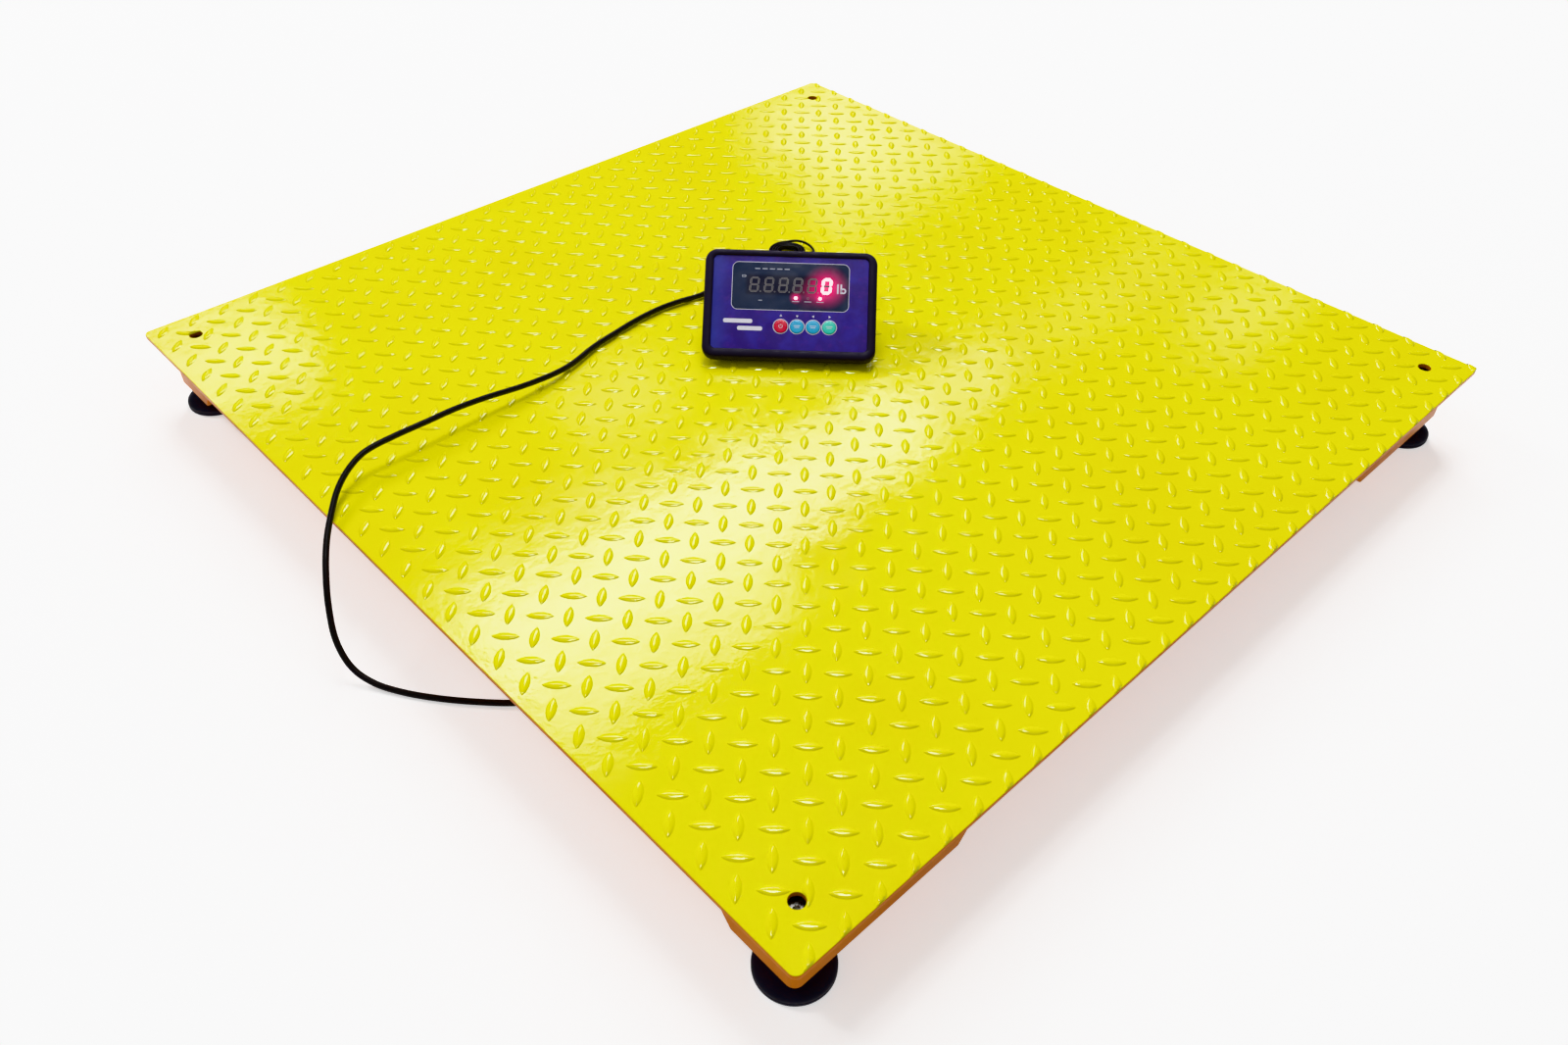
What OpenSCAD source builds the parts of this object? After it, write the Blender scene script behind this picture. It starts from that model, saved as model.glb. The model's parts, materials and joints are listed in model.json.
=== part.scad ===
// Pallet scale: a tread-plate deck on four load cells and levelling feet, with a desk
// indicator resting on the deck. Millimetres, +Z up, origin on the floor under the
// deck's centre. X and Y run along the deck's edges; the operator stands at the
// (-X, -Y) corner, which is called the front corner.

/* [Deck] */
// Side of the square deck plate
deck_side = 1219.2; // [1210:0.2:1230]
// Height of the plate's top face above the floor
deck_h = 104; // [100:1:110]
// Thickness of the deck plate
plate_t = 6; // [4:0.5:8]
// Height of the tread pattern that things on the deck rest on
lug_h = 1.5; // [1:0.1:2]
// Distance of each access hole from the deck's centre, along X and along Y
hole_c = 561; // [558:1:563]
// Diameter of the access holes over the feet
hole_d = 16; // [14:1:18]

/* [Frame] */
// Height of the channels under the plate
rib_h = 50; // [44:1:54]
// Width of each channel
rib_w = 50; // [44:1:54]
// Sheet thickness of the channels
rib_t = 4; // [3:0.5:5]
// Spacing of the channels along Y
rib_pitch = 215; // [212:1:217]

/* [Corner pockets] */
// Gap from the deck's edge to a pocket's outer walls
pocket_inset = 19; // [17:1:20]
// Drop of a pocket below the plate
pocket_drop = 67; // [64:1:68]
// Length of a pocket's floor along X
pocket_x = 210; // [200:1:226]
// Length of a pocket's floor along Y
pocket_y = 80; // [78:1:84]
// Run of each sloping inner wall
pocket_run = 49; // [40:1:52]
// Wall thickness of a pocket
pocket_t = 5; // [4:0.5:6]

/* [Load cells] */
// Length of a shear-beam load cell
cell_l = 130; // [128:1:132]
// Square section of a load cell
cell_s = 32; // [30:0.5:34]
// Thickness of the spacer between the plate and a load cell
spacer_t = 12; // [11:0.5:14]

/* [Feet] */
// Radius of a foot's pad
pad_r = 38; // [34:0.5:40]
// Height of a foot's pad
pad_h = 20; // [19:0.5:21]
// Diameter of the levelling stud
stud_d = 16; // [15:0.5:16.5]

/* [Indicator] */
// Width of the indicator's bezel
face_w = 220; // [218:1:224]
// Height of the bezel, measured up the sloping face
face_h = 144.7; // [143:0.1:147]
// Slope of the face above the horizontal
face_tilt = 39.5; // [38:0.5:41]
// Height of the face's lower edge above the deck plate
face_z = 13.5; // [13:0.5:15]
// Turn of the indicator about the vertical
face_yaw = -45.5; // [-48:0.5:-42]
// Diameter of the round key caps
key_d = 17.2; // [16:0.1:18]
// Travel of a key
key_travel = 0.8; // [0.4:0.1:1]

/* [Cables] */
// Diameter of the signal cable
cable_d = 7; // [6:0.5:8]
// Diameter of the power lead
lead_d = 3.6; // [3:0.1:4]
// Diameter of the load-cell leads
cell_lead_d = 5; // [4:0.5:6]

/* [Hidden] */
$fn = 48;
EPS = 1;

FRONT = [-1, -1];
RIGHT = [1, -1];
BACK = [1, 1];
LEFT = [-1, 1];
CORNERS = [FRONT, RIGHT, BACK, LEFT];

half = deck_side / 2;
plate_z = deck_h - plate_t;
rest_z = deck_h + lug_h;
deck_r = 8;

// Channels along the deck's edges, set in from the plate's edge
end_w = 35;
end_x = half - 34.6 - end_w / 2;
rib_l = 2 * (end_x - end_w / 2);

// Pocket planes, for the corner at +X +Y
wall_out = half - pocket_inset;
pocket_z = plate_z - pocket_drop;
pocket_r = 10;
floor_hole_d = 44;

// Load cell, lying along X with its free end over the foot
cell_z = plate_z - spacer_t - cell_s;
cell_end = hole_c + 17;
cell_bolt_x = [cell_end - 113, cell_end - 88];
cell_bolt_d = 12;
lead_z = plate_z - 16;
lead_x = hole_c - 181;
web_hole_d = 14;

// Foot
ball_r = 9;
ball_z = 13;
ball_gap = 0.3;
stud_gap = 0.05;
nut_h = 13;
nut_af = 24;
stud_top = plate_z - 8;

// Junction box, between the middle channel and the one in front of it
box_x = [-400, -280];
box_y = [-155, -60];
box_z = [56, plate_z];
box_t = 2.5;
box_lid_t = 4;
gland_z = 76;
gland_l = 12;

// Indicator, in its own frame: X to the operator's right, Y to the back, Z up from the plate
indicator_pos = [-46.5, -11.5, deck_h];
bezel_t = 10;
bezel_r = 16;
lip = 2.2;
panel_t = 2;
opening_w = 197.6;
opening_h = 122.6;
opening_r = 6;
opening_v = 74.6;
rebate_w = 203;
rebate_h = 128;
shell_w = 202.4;
shell_t = 2.5;
shell_v = [opening_v - 63.8, opening_v + 63.8];
shell_front = -(lip + panel_t);
shell_back = 126;
shell_base = lug_h + 3;
window_w = 149;
window_h = 63;
window_v = 96.5;
window_r = 8;
key_u = [-10.9, 9.7, 30.2, 50.6];
key_v = 44;
digit_pitch = 18.4;
digit_u = [for (i = [0:5]) -46 + digit_pitch * i];
digit_v = 98.3;
port_z = 40;
gland_u = -45;
jack_u = 0;
jack_z = 35;
socket_u = 30;
switch_u = 68;
rocker_r = 7;
rocker_out = 2;
rocker_turn = 20;
plug_end = shell_back + 32;
boot_end = shell_back + 32;

// Points of a side view of the sloping face: v up the face, w out of it
function face_y(v, w) = v * cos(face_tilt) - w * sin(face_tilt);
function face_up(v, w) = face_z + v * sin(face_tilt) + w * cos(face_tilt);
// The w at which a line square to the face, from v, reaches y
function depth_at(v, y) = (v * cos(face_tilt) - y) / sin(face_tilt);

// Signal cable: gland, deck, over the edge, floor, junction box
scale_route = [
    [35.5, 132, 144], [44, 141, 142.5], [48, 152, 137.5], [47, 165, 129.5], [40, 179, 120.5],
    [26, 188, 113], [4, 190.5, 109.5], [-19.5, 189, 109], [-50, 196, 109], [-81.5, 200, 109],
    [-119, 199, 109], [-156.5, 194, 109], [-201, 186.5, 109], [-245, 173, 110],
    [-280, 166.5, 113], [-326, 165, 118], [-373, 167, 124], [-416, 167, 128.5],
    [-457, 165.5, 130.5], [-496, 165.5, 131.5], [-533, 165, 130], [-559, 157, 125.5],
    [-584, 140, 120], [-606.5, 116, 114], [-630, 87, 106], [-649, 60, 92], [-665, 35, 70],
    [-675, 14, 42], [-675, -8, 18], [-665.5, -34, 6.6], [-648, -65, 3.9], [-625, -97, 3.7],
    [-600, -126, 3.7], [-573, -153, 3.7], [-544, -174, 3.8], [-512, -183, 4.3],
    [-484, -174, 11], [-463, -153, 28], [-449, -132, 50], [-437, -115, 67], [-426, -108.5, 74.5],
    [-412.8, -107.5, 76]
];

// Power lead, in the indicator's own frame: from the plug to the coil, and on to the adapter
lead_on = rest_z - deck_h + lead_d / 2;
coil_turn_r = 19;
coil_columns = 4;
coil_rows = 2;
coil_pos = [-10, 283.8];
plug_route = [
    [0, plug_end + 0.5, jack_z], [0, 170, 33.5], [-2, 184, 27], [-6, 198, 17], [-11, 212, 8],
    [-16, 226, lead_on], [-21, 238.5, lead_on], [-25.5, 250, lead_on], [-29.3, 260.5, lead_on],
    [-32.3, 271, lead_on], [-34.2, 280.7, lead_on]
];
adapter_route = [
    [-11, 309.2, 6.9], [-3, 311.2, 7.4], [5, 311.8, 7.4], [12.5, 310.2, 6.7], [19.5, 306, 5.6],
    [25, 299.5, 4.5], [28, 291, 3.7], [29, 281, lead_on], [28.5, 267, lead_on], [26, 252, lead_on],
    [22, 237, lead_on], [17.5, 222.5, lead_on], [12.5, 209, 4.5], [9.5, 197, 8], [12, 185.5, 12.5],
    [22, 180, 15.5]
];
adapter_pos = [35, 161];
adapter_size = [54, 38, 28];
adapter_boot = 13;

// Load-cell leads, for the side they are named after, mirrored onto it
cell_exit = [[cell_end - cell_l - 8, hole_c, 70], [422, hole_c, 70], [403, 556, 71],
    [389, 544, 73], [382, 526, 77], [lead_x, 505, 80], [lead_x, 485, lead_z]];
short_lead = concat(cell_exit, [[lead_x, -box_y[0] + gland_l, lead_z]]);
long_lead = concat(cell_exit, [[lead_x, box_y[1] + gland_l, lead_z]]);
right_lead = concat(cell_exit, [[lead_x, 160, lead_z], [377, 144, lead_z], [366, 133, lead_z],
    [350, 130, lead_z], [box_x[1] + gland_l, 130, lead_z]]);
back_lead = concat(cell_exit, [[lead_x, -55, lead_z], [377, -71, lead_z], [366, -82, lead_z],
    [350, -85, lead_z], [box_x[1] + gland_l, -85, lead_z]]);

// ---------- helpers ----------

function unit(v) = v / norm(v);
function at(p, i) = p[max(0, min(len(p) - 1, i))];
// Point on a smooth curve through p, t of the way from point i to the next
function between(p, i, t) =
    let (a = at(p, i - 1), b = at(p, i), c = at(p, i + 1), d = at(p, i + 2))
    b + t * (c - a) / 2 + t * t * (2 * a - 5 * b + 4 * c - d) / 2
    + t * t * t * (3 * b - a - 3 * c + d) / 2;
function smooth(p, steps) = [
    for (i = [0:len(p) - 2], s = [0:steps - 1]) between(p, i, s / steps),
    p[len(p) - 1]
];
function heading(p, i) = unit(at(p, i + 1) - at(p, i - 1));
function ring(c, t, r, sides) =
    let (s = unit(cross(t, [0, 0, 1])), u = cross(s, t))
    [for (k = [0:sides - 1]) c + r * (cos(360 * k / sides) * s + sin(360 * k / sides) * u)];

// A closed tube of diameter d along the points p
module tube(p, d, sides = 8) {
    n = len(p);
    points = [for (i = [0:n - 1]) each ring(p[i], heading(p, i), d / 2, sides)];
    walls = [for (i = [0:n - 2], k = [0:sides - 1])
        let (a = i * sides + k, b = i * sides + (k + 1) % sides) [a, b, b + sides, a + sides]];
    first = [for (k = [sides - 1:-1:0]) k];
    last = [for (k = [0:sides - 1]) (n - 1) * sides + k];
    polyhedron(points = points, faces = concat([first, last], walls), convexity = 6);
}

module rounded_rect(w, h, r) {
    square([w - 2 * r, h], center = true);
    square([w, h - 2 * r], center = true);
    for (x = [-1, 1], y = [-1, 1])
        translate([x * (w / 2 - r), y * (h / 2 - r)]) circle(r = r);
}

module slab(w, h, r, t) {
    linear_extrude(height = t) rounded_rect(w, h, r);
}

module hexagon(af, h) {
    cylinder(d = af / cos(30), h = h, $fn = 6);
}

// Mirrors a part made for the +X +Y corner onto corner c
module at_corner(c) {
    mirror([c[0] < 0 ? 1 : 0, 0, 0]) mirror([0, c[1] < 0 ? 1 : 0, 0]) children();
}

module on_deck() {
    translate(indicator_pos) rotate([0, 0, face_yaw]) children();
}

// Lays XY on the face: X across it, Y up it, Z out of it
module on_face(v = 0, w = 0) {
    on_deck() translate([0, 0, face_z]) rotate([face_tilt, 0, 0]) translate([0, v, w]) children();
}

// Stands XY on the rear wall: Z runs out of the back
module on_back(u, z) {
    on_deck() translate([u, shell_back, z]) rotate([-90, 0, 0]) children();
}

// ---------- deck and frame ----------

module deck_plate() {
    color("gold") difference() {
        translate([0, 0, plate_z]) slab(deck_side, deck_side, deck_r, plate_t);
        for (c = CORNERS)
            translate([c[0] * hole_c, c[1] * hole_c, plate_z - EPS])
                cylinder(d = hole_d, h = plate_t + 2 * EPS);
    }
}

// Channel of length l along X, open upwards against the plate
module channel(l, w) {
    difference() {
        translate([-l / 2, -w / 2, plate_z - rib_h]) cube([l, w, rib_h]);
        translate([-l / 2 - EPS, -w / 2 + rib_t, plate_z - rib_h + rib_t])
            cube([l + 2 * EPS, w - 2 * rib_t, rib_h]);
    }
}

module deck_ribs() {
    color("darkgoldenrod") difference() {
        for (i = [-2:2])
            translate([0, i * rib_pitch, 0]) channel(rib_l, rib_w);
        for (x = [-lead_x, lead_x])
            translate([x, -half, lead_z]) rotate([-90, 0, 0]) cylinder(d = web_hole_d, h = deck_side);
    }
}

module edge_channels() {
    end_l = 2 * (wall_out - pocket_y - pocket_run);
    side_l = 2 * (wall_out - pocket_x - pocket_run);
    color("darkgoldenrod") for (s = [-1, 1]) {
        translate([s * end_x, 0, 0]) rotate([0, 0, 90]) channel(end_l, end_w);
        translate([0, s * end_x, 0]) channel(side_l, end_w);
    }
}

// Solid of a pocket whose walls are drawn in by g, with its floor at z
module pocket_block(g, z, top) {
    slope = pocket_run / pocket_drop;
    out = wall_out - g;
    in_x = wall_out - pocket_x + g - (z - pocket_z) * slope;
    in_y = wall_out - pocket_y + g - (z - pocket_z) * slope;
    back = (top - z) * slope;
    intersection() {
        translate([0, out, 0]) rotate([90, 0, 0]) linear_extrude(height = half)
            polygon([[out, z], [out, top], [in_x - back, top], [in_x, z]]);
        rotate([90, 0, 90]) linear_extrude(height = half)
            polygon([[out, z], [out, top], [in_y - back, top], [in_y, z]]);
        translate([out - half / 2, out - half / 2, z])
            slab(half, half, pocket_r - g / 2, top - z);
    }
}

module corner_pocket() {
    color("darkgoldenrod") difference() {
        pocket_block(0, pocket_z, plate_z);
        pocket_block(pocket_t, pocket_z + pocket_t, plate_z + EPS);
        translate([hole_c, hole_c, pocket_z - EPS]) cylinder(d = floor_hole_d, h = pocket_t + 2 * EPS);
        translate([lead_x, wall_out - 60, lead_z]) rotate([90, 0, 0]) cylinder(d = web_hole_d, h = 120);
    }
}

// ---------- load cells ----------

module load_cell() {
    color("lightsteelblue") difference() {
        union() {
            translate([cell_end - cell_l, hole_c - cell_s / 2, cell_z]) cube([cell_l, cell_s, cell_s]);
            translate([cell_end - cell_l - 8, hole_c, 70]) rotate([0, 90, 0]) cylinder(d = 11, h = 8 + EPS);
        }
        translate([hole_c, hole_c, cell_z - EPS])
            cylinder(d = stud_d + 2 * stud_gap, h = cell_s + 2 * EPS);
        for (x = cell_bolt_x)
            translate([x, hole_c, cell_z - EPS]) cylinder(d = cell_bolt_d + 1, h = cell_s + 2 * EPS);
        translate([cell_end - 52, hole_c - cell_s, cell_z + cell_s / 2]) rotate([-90, 0, 0])
            cylinder(d = 20, h = 2 * cell_s);
    }
}

module cell_spacers() {
    color("gray") for (c = CORNERS)
        at_corner(c) difference() {
            translate([cell_end - cell_l + 2, hole_c - cell_s / 2, plate_z - spacer_t])
                cube([58, cell_s, spacer_t]);
            for (x = cell_bolt_x)
                translate([x, hole_c, plate_z - spacer_t - EPS])
                    cylinder(d = cell_bolt_d + 1, h = spacer_t + 2 * EPS);
        }
}

module cell_bolts() {
    color("silver") for (c = CORNERS, x = cell_bolt_x)
        at_corner(c) translate([x, hole_c, cell_z]) {
            cylinder(d = cell_bolt_d, h = cell_s + spacer_t - 1);
            translate([0, 0, -2.5]) difference() {
                cylinder(d = 22, h = 2.5);
                translate([0, 0, -EPS]) cylinder(d = cell_bolt_d - 2, h = 2);
            }
            translate([0, 0, -10]) hexagon(18, 7.5);
        }
}

module lock_nuts() {
    color("silver") for (c = CORNERS)
        at_corner(c) translate([hole_c, hole_c, cell_z - nut_h]) difference() {
            hexagon(nut_af, nut_h);
            translate([0, 0, -EPS]) cylinder(d = stud_d + 2 * stud_gap, h = nut_h + 2 * EPS);
        }
}

module cell_lead(route) {
    color("dimgray") tube(route, cell_lead_d);
}

// Clips on the plate's underside that hold the two leads from the right-hand cells
module lead_clips() {
    color("white") for (x = [-180, 20, 220], y = [-130, -85])
        translate([x - 5, y, lead_z]) difference() {
            union() {
                rotate([0, 90, 0]) cylinder(d = cell_lead_d + 4, h = 10);
                translate([0, -4, 0]) cube([10, 8, plate_z - lead_z]);
            }
            translate([-EPS, 0, 0]) rotate([0, 90, 0])
                cylinder(d = cell_lead_d, h = 10 + 2 * EPS);
        }
}

// Rubber bushes where the leads cross the channel webs
module lead_grommets() {
    webs = [for (i = [-2:2], s = [-1, 1]) i * rib_pitch + s * (rib_w - rib_t) / 2];
    color("black") for (s = [-1, 1], y = webs)
        translate([s * lead_x, y, lead_z]) rotate([90, 0, 0]) difference() {
            translate([0, 0, -rib_t / 2]) cylinder(d = web_hole_d, h = rib_t);
            translate([0, 0, -rib_t]) cylinder(d = cell_lead_d + 0.2, h = 2 * rib_t);
        }
}

// ---------- junction box ----------

module junction_box() {
    w = box_x[1] - box_x[0];
    d = box_y[1] - box_y[0];
    color("lightgray") translate([box_x[0], box_y[0], box_z[0]]) difference() {
        cube([w, d, box_z[1] - box_z[0]]);
        translate([box_t, box_t, -EPS])
            cube([w - 2 * box_t, d - 2 * box_t, box_z[1] - box_z[0] - box_t + EPS]);
        for (p = gland_spots())
            translate(p[0] - [box_x[0], box_y[0], box_z[0]]) rotate(p[1])
                translate([0, 0, -2 * box_t]) cylinder(d = 8, h = 4 * box_t);
    }
}

// Place and direction of each gland: Z runs out of the box
function gland_spots() = [
    [[box_x[0], (box_y[0] + box_y[1]) / 2, gland_z], [0, -90, 0]],
    [[-lead_x, box_y[0], lead_z], [90, 0, 0]],
    [[-lead_x, box_y[1], lead_z], [-90, 0, 0]],
    [[box_x[1], -130, lead_z], [0, 90, 0]],
    [[box_x[1], -85, lead_z], [0, 90, 0]]
];

module junction_glands() {
    color("black") for (p = gland_spots())
        translate(p[0]) rotate(p[1]) difference() {
            union() {
                cylinder(d = 15, h = 4);
                translate([0, 0, -4]) cylinder(d = 8, h = 8);
                translate([0, 0, 4]) cylinder(d1 = 13, d2 = 9, h = gland_l - 4);
            }
            translate([0, 0, -5]) cylinder(d = cell_lead_d, h = 10);
        }
}

module junction_gasket() {
    w = box_x[1] - box_x[0];
    d = box_y[1] - box_y[0];
    color("black") translate([box_x[0] + w / 2, box_y[0] + d / 2, box_z[0] - 1]) difference() {
        slab(w, d, 3, 1);
        translate([0, 0, -EPS]) slab(w - 2 * box_t, d - 2 * box_t, 1.5, 1 + 2 * EPS);
    }
}

module junction_lid() {
    w = box_x[1] - box_x[0];
    d = box_y[1] - box_y[0];
    color("lightgray") translate([box_x[0] + w / 2, box_y[0] + d / 2, box_z[0] - 1 - box_lid_t])
        difference() {
            slab(w, d, 3, box_lid_t);
            for (x = [-1, 1], y = [-1, 1])
                translate([x * (w / 2 - 8), y * (d / 2 - 8), -EPS])
                    cylinder(d = 4.2, h = box_lid_t + 2 * EPS);
        }
}

module junction_board() {
    color("darkgreen") translate([box_x[0] + 16, box_y[0] + 16, 72]) {
        cube([88, 63, 1.6]);
        for (i = [0:3]) translate([6 + 20 * i, 5, -9]) cube([16, 9, 9]);
        translate([26, 48, -9]) cube([34, 9, 9]);
        for (x = [4, 84], y = [20, 43]) translate([x, y, 1.6]) cylinder(d = 5, h = box_z[1] - box_t - 73.6);
    }
}

module junction_screws() {
    w = box_x[1] - box_x[0];
    d = box_y[1] - box_y[0];
    color("silver") for (x = [-1, 1], y = [-1, 1])
        translate([box_x[0] + w / 2 + x * (w / 2 - 8), box_y[0] + d / 2 + y * (d / 2 - 8), 0]) {
            translate([0, 0, box_z[0] - 1 - box_lid_t - 2.5]) cylinder(d = 8, h = 2.5);
            translate([0, 0, box_z[0] - 1 - box_lid_t - EPS]) cylinder(d = 4, h = 14);
        }
}

// ---------- levelling feet ----------

module foot_stud() {
    color("silver") translate([hole_c, hole_c, 0]) difference() {
        union() {
            translate([0, 0, ball_z]) sphere(r = ball_r);
            translate([0, 0, ball_z]) cylinder(d = 11, h = 12);
            translate([0, 0, 23.5]) hexagon(nut_af, 6.5);
            translate([0, 0, 29]) cylinder(d = stud_d, h = stud_top - 29);
        }
        translate([0, 0, stud_top - 8]) hexagon(8, 8 + EPS);
    }
}

module foot_pad() {
    color("midnightblue") translate([hole_c, hole_c, 0]) difference() {
        rotate_extrude() polygon([
            [0, 0], [pad_r - 1, 0], [pad_r, 1], [pad_r, 7], [pad_r - 2, 9.5], [pad_r - 10, 12.5],
            [19, 15.5], [15, pad_h - 0.5], [14, pad_h], [0, pad_h]
        ]);
        translate([0, 0, ball_z]) sphere(r = ball_r + ball_gap);
        translate([0, 0, ball_z]) cylinder(r1 = 5.5, r2 = 9, h = pad_h - ball_z + 0.01);
    }
}

// ---------- indicator ----------

module front_bezel() {
    color("black") on_face() difference() {
        translate([0, face_h / 2, -bezel_t]) {
            slab(face_w, face_h, bezel_r, bezel_t - 3);
            slab(face_w - 2, face_h - 2, bezel_r - 1, bezel_t - 1.2);
            slab(face_w - 5, face_h - 5, bezel_r - 2.5, bezel_t);
        }
        translate([0, opening_v, -bezel_t - EPS]) slab(opening_w, opening_h, opening_r, bezel_t + 2 * EPS);
        translate([0, opening_v, -bezel_t - EPS]) slab(rebate_w, rebate_h, 0.5, bezel_t + EPS - lip);
    }
}

module face_panel() {
    color("indigo") on_face(0, -lip - panel_t) difference() {
        translate([0, opening_v, 0]) slab(rebate_w - 0.6, rebate_h - 0.6, 3, panel_t);
        translate([0, window_v, -EPS]) slab(window_w, window_h, window_r, panel_t + 2 * EPS);
        for (u = key_u) translate([u, key_v, -EPS]) cylinder(d = key_d + 0.6, h = panel_t + 2 * EPS);
    }
}

module display_window() {
    color("darkslategray") on_face(window_v, -lip - panel_t)
        slab(window_w - 0.2, window_h - 0.2, window_r, panel_t);
}

// Side view of the wedge housing, drawn in by t
module wedge(t) {
    polygon([
        [face_y(shell_v[0] + t, shell_front), face_up(shell_v[0] + t, shell_front)],
        [face_y(shell_v[0] + t, -26), face_up(shell_v[0] + t, -26)],
        [shell_back - t, face_up(shell_v[0] + t, -26)],
        [shell_back - t, face_up(shell_v[1] - t, depth_at(shell_v[1] - t, shell_back - t))],
        [face_y(shell_v[1] - t, shell_front), face_up(shell_v[1] - t, shell_front)]
    ]);
}

module wedge_block(t, w) {
    translate([-w / 2, 0, 0]) rotate([90, 0, 90]) linear_extrude(height = w) wedge(t);
}

module rear_shell() {
    screw_spots = [for (x = [-1, 1], y = [36, 118]) [x * 95.5, y]];
    color("#1c1c1e") on_deck() difference() {
        union() {
            difference() {
                intersection() {
                    wedge_block(0, shell_w);
                    translate([-half, -half, shell_base]) cube([deck_side, deck_side, 200]);
                }
                wedge_block(shell_t, shell_w - 2 * shell_t);
                translate([0, 0, face_z]) rotate([face_tilt, 0, 0])
                    translate([0, opening_v, shell_front - 8])
                        slab(shell_w - 2 * shell_t, rebate_h - 6, 3, 8 + EPS);
            }
            for (p = screw_spots)
                translate([p[0], p[1], shell_base + 2.5]) cylinder(d = 7.5, h = 14);
        }
        for (p = screw_spots) translate([p[0], p[1], 0]) cylinder(d = 2.6, h = 18);
        translate([gland_u, shell_back - 5, port_z]) rotate([-90, 0, 0]) cylinder(d = 12.5, h = 10);
        translate([jack_u, shell_back - 5, jack_z]) rotate([-90, 0, 0]) cylinder(d = 8.2, h = 10);
        translate([socket_u - 13, shell_back - 5, port_z - 5.2]) cube([26, 10, 10.4]);
        translate([switch_u - 6.7, shell_back - 5, port_z - 9.5]) cube([13.4, 10, 19]);
        for (i = [-4:4])
            translate([i * 14 - 4, shell_back - 5, 60]) cube([8, 10, 2]);
    }
}

module base_cover() {
    color("#26262a") on_deck() difference() {
        translate([-98.5, 25, shell_base]) cube([197, 98.3, 2.5]);
        for (x = [-95.5, 95.5], y = [36, 118]) translate([x, y, 0]) cylinder(d = 3.2, h = 20);
        for (i = [-5:5]) translate([i * 12 - 3, 62, shell_base - EPS]) cube([6, 24, 5]);
    }
}

module indicator_feet() {
    color("dimgray") on_deck() for (x = [-84, 84], y = [38, 114])
        translate([x, y, lug_h]) cylinder(d = 13, h = shell_base - lug_h);
}

module base_screws() {
    color("silver") on_deck() for (x = [-95.5, 95.5], y = [36, 118])
        translate([x, y, shell_base - 1.6]) {
            cylinder(d = 5.6, h = 1.6);
            cylinder(d = 2.6, h = 13);
        }
}

module display_board() {
    color("darkgreen") on_face(opening_v, -12) {
        slab(184, 112, 2, 1.6);
        for (x = [-88, 88], y = [-50, 50]) translate([x, y, 1.6]) cylinder(d = 5, h = 12 - 1.6 + shell_front);
    }
}

module display_modules() {
    color("gray") {
        for (u = digit_u)
            on_face(digit_v, -10.4 + 3) translate([u, 0, 0]) cube([17.6, 27.4, 6], center = true);
        for (u = [7.1, 22.6, 38])
            on_face(81, -10.4) translate([u, 0, 0]) cylinder(d = 3, h = 6);
    }
}

module key_switches() {
    color("#303030") for (u = key_u)
        on_face(key_v, -10.4) translate([u, 0, 0]) {
            translate([-3, -3, 0]) cube([6, 6, 2]);
            cylinder(d = 3.4, h = 2.6);
        }
}

// The post on the back stops short of its switch by the key's travel and 0.3 more
module key_cap(i, shade) {
    color(shade) on_face(key_v, 0) translate([key_u[i], 0, 0]) {
        translate([0, 0, shell_front - 1.1]) cylinder(d = key_d + 2.4, h = 0.8);
        translate([0, 0, shell_front - 1.1]) cylinder(d = key_d, h = 1.1 + panel_t + 0.9);
        translate([0, 0, key_travel - 7.5]) cylinder(d = 3, h = 6.6 + shell_front - key_travel);
    }
}

module main_board() {
    color("darkgreen") on_face(92, -22) {
        slab(150, 70, 2, 1.6);
        translate([-30, -12, -3]) cube([18, 18, 3]);
        translate([20, 6, -9]) cube([16, 12, 9]);
        translate([48, -14, -12]) cylinder(d = 10, h = 12);
        for (x = [-68, 68], y = [-28, 28]) translate([x, y, 1.6]) cylinder(d = 5, h = 8.4);
    }
}

module battery_pack() {
    color("royalblue") on_deck() translate([-37, 60, shell_base + 2.5]) cube([74, 58, 19]);
}

module cable_gland() {
    color("#202024") on_back(gland_u, port_z) difference() {
        union() {
            translate([0, 0, -10]) cylinder(d = 12.4, h = 12);
            translate([0, 0, -shell_t - 4]) hexagon(16, 4);
            hexagon(17, 5);
            translate([0, 0, 5]) cylinder(d1 = 16, d2 = 13, h = 9);
            translate([0, 0, 14]) cylinder(d1 = 11, d2 = 8.6, h = boot_end - shell_back - 14);
        }
        translate([0, 0, -11]) cylinder(d = 7.1, h = 11);
    }
}

module power_jack() {
    color("#202024") on_back(jack_u, jack_z) difference() {
        union() {
            translate([0, 0, -9]) cylinder(d = 8, h = 10);
            cylinder(d = 12, h = 1.8);
            translate([0, 0, -shell_t - 2.2]) hexagon(11, 2.2);
        }
        translate([0, 0, -8]) cylinder(d = 5.6, h = 12);
    }
}

module serial_socket() {
    color("silver") on_back(socket_u, port_z) {
        translate([0, 0, -8]) linear_extrude(height = 8) square([25.6, 10], center = true);
        slab(31, 12.6, 1.5, 1);
        translate([0, 0, 1]) difference() {
            slab(17, 8.4, 2.5, 5);
            translate([0, 0, 1]) slab(16, 7.4, 2, 5);
        }
        for (s = [-1, 1]) translate([12.5 * s, 0, 1]) hexagon(5, 4.5);
    }
}

module switch_frame() {
    color("#202024") on_back(switch_u, port_z) difference() {
        union() {
            slab(15.5, 21.5, 1.5, 2);
            translate([0, 0, -14]) linear_extrude(height = 15) square([13.2, 18.8], center = true);
            for (x = [-4, 4]) translate([x - 0.4, -3, -20]) cube([0.8, 6, 7]);
        }
        translate([-5.5, -rocker_r - 0.4, -rocker_r - 1]) cube([11, 2 * rocker_r + 0.8, 12]);
    }
}

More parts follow.
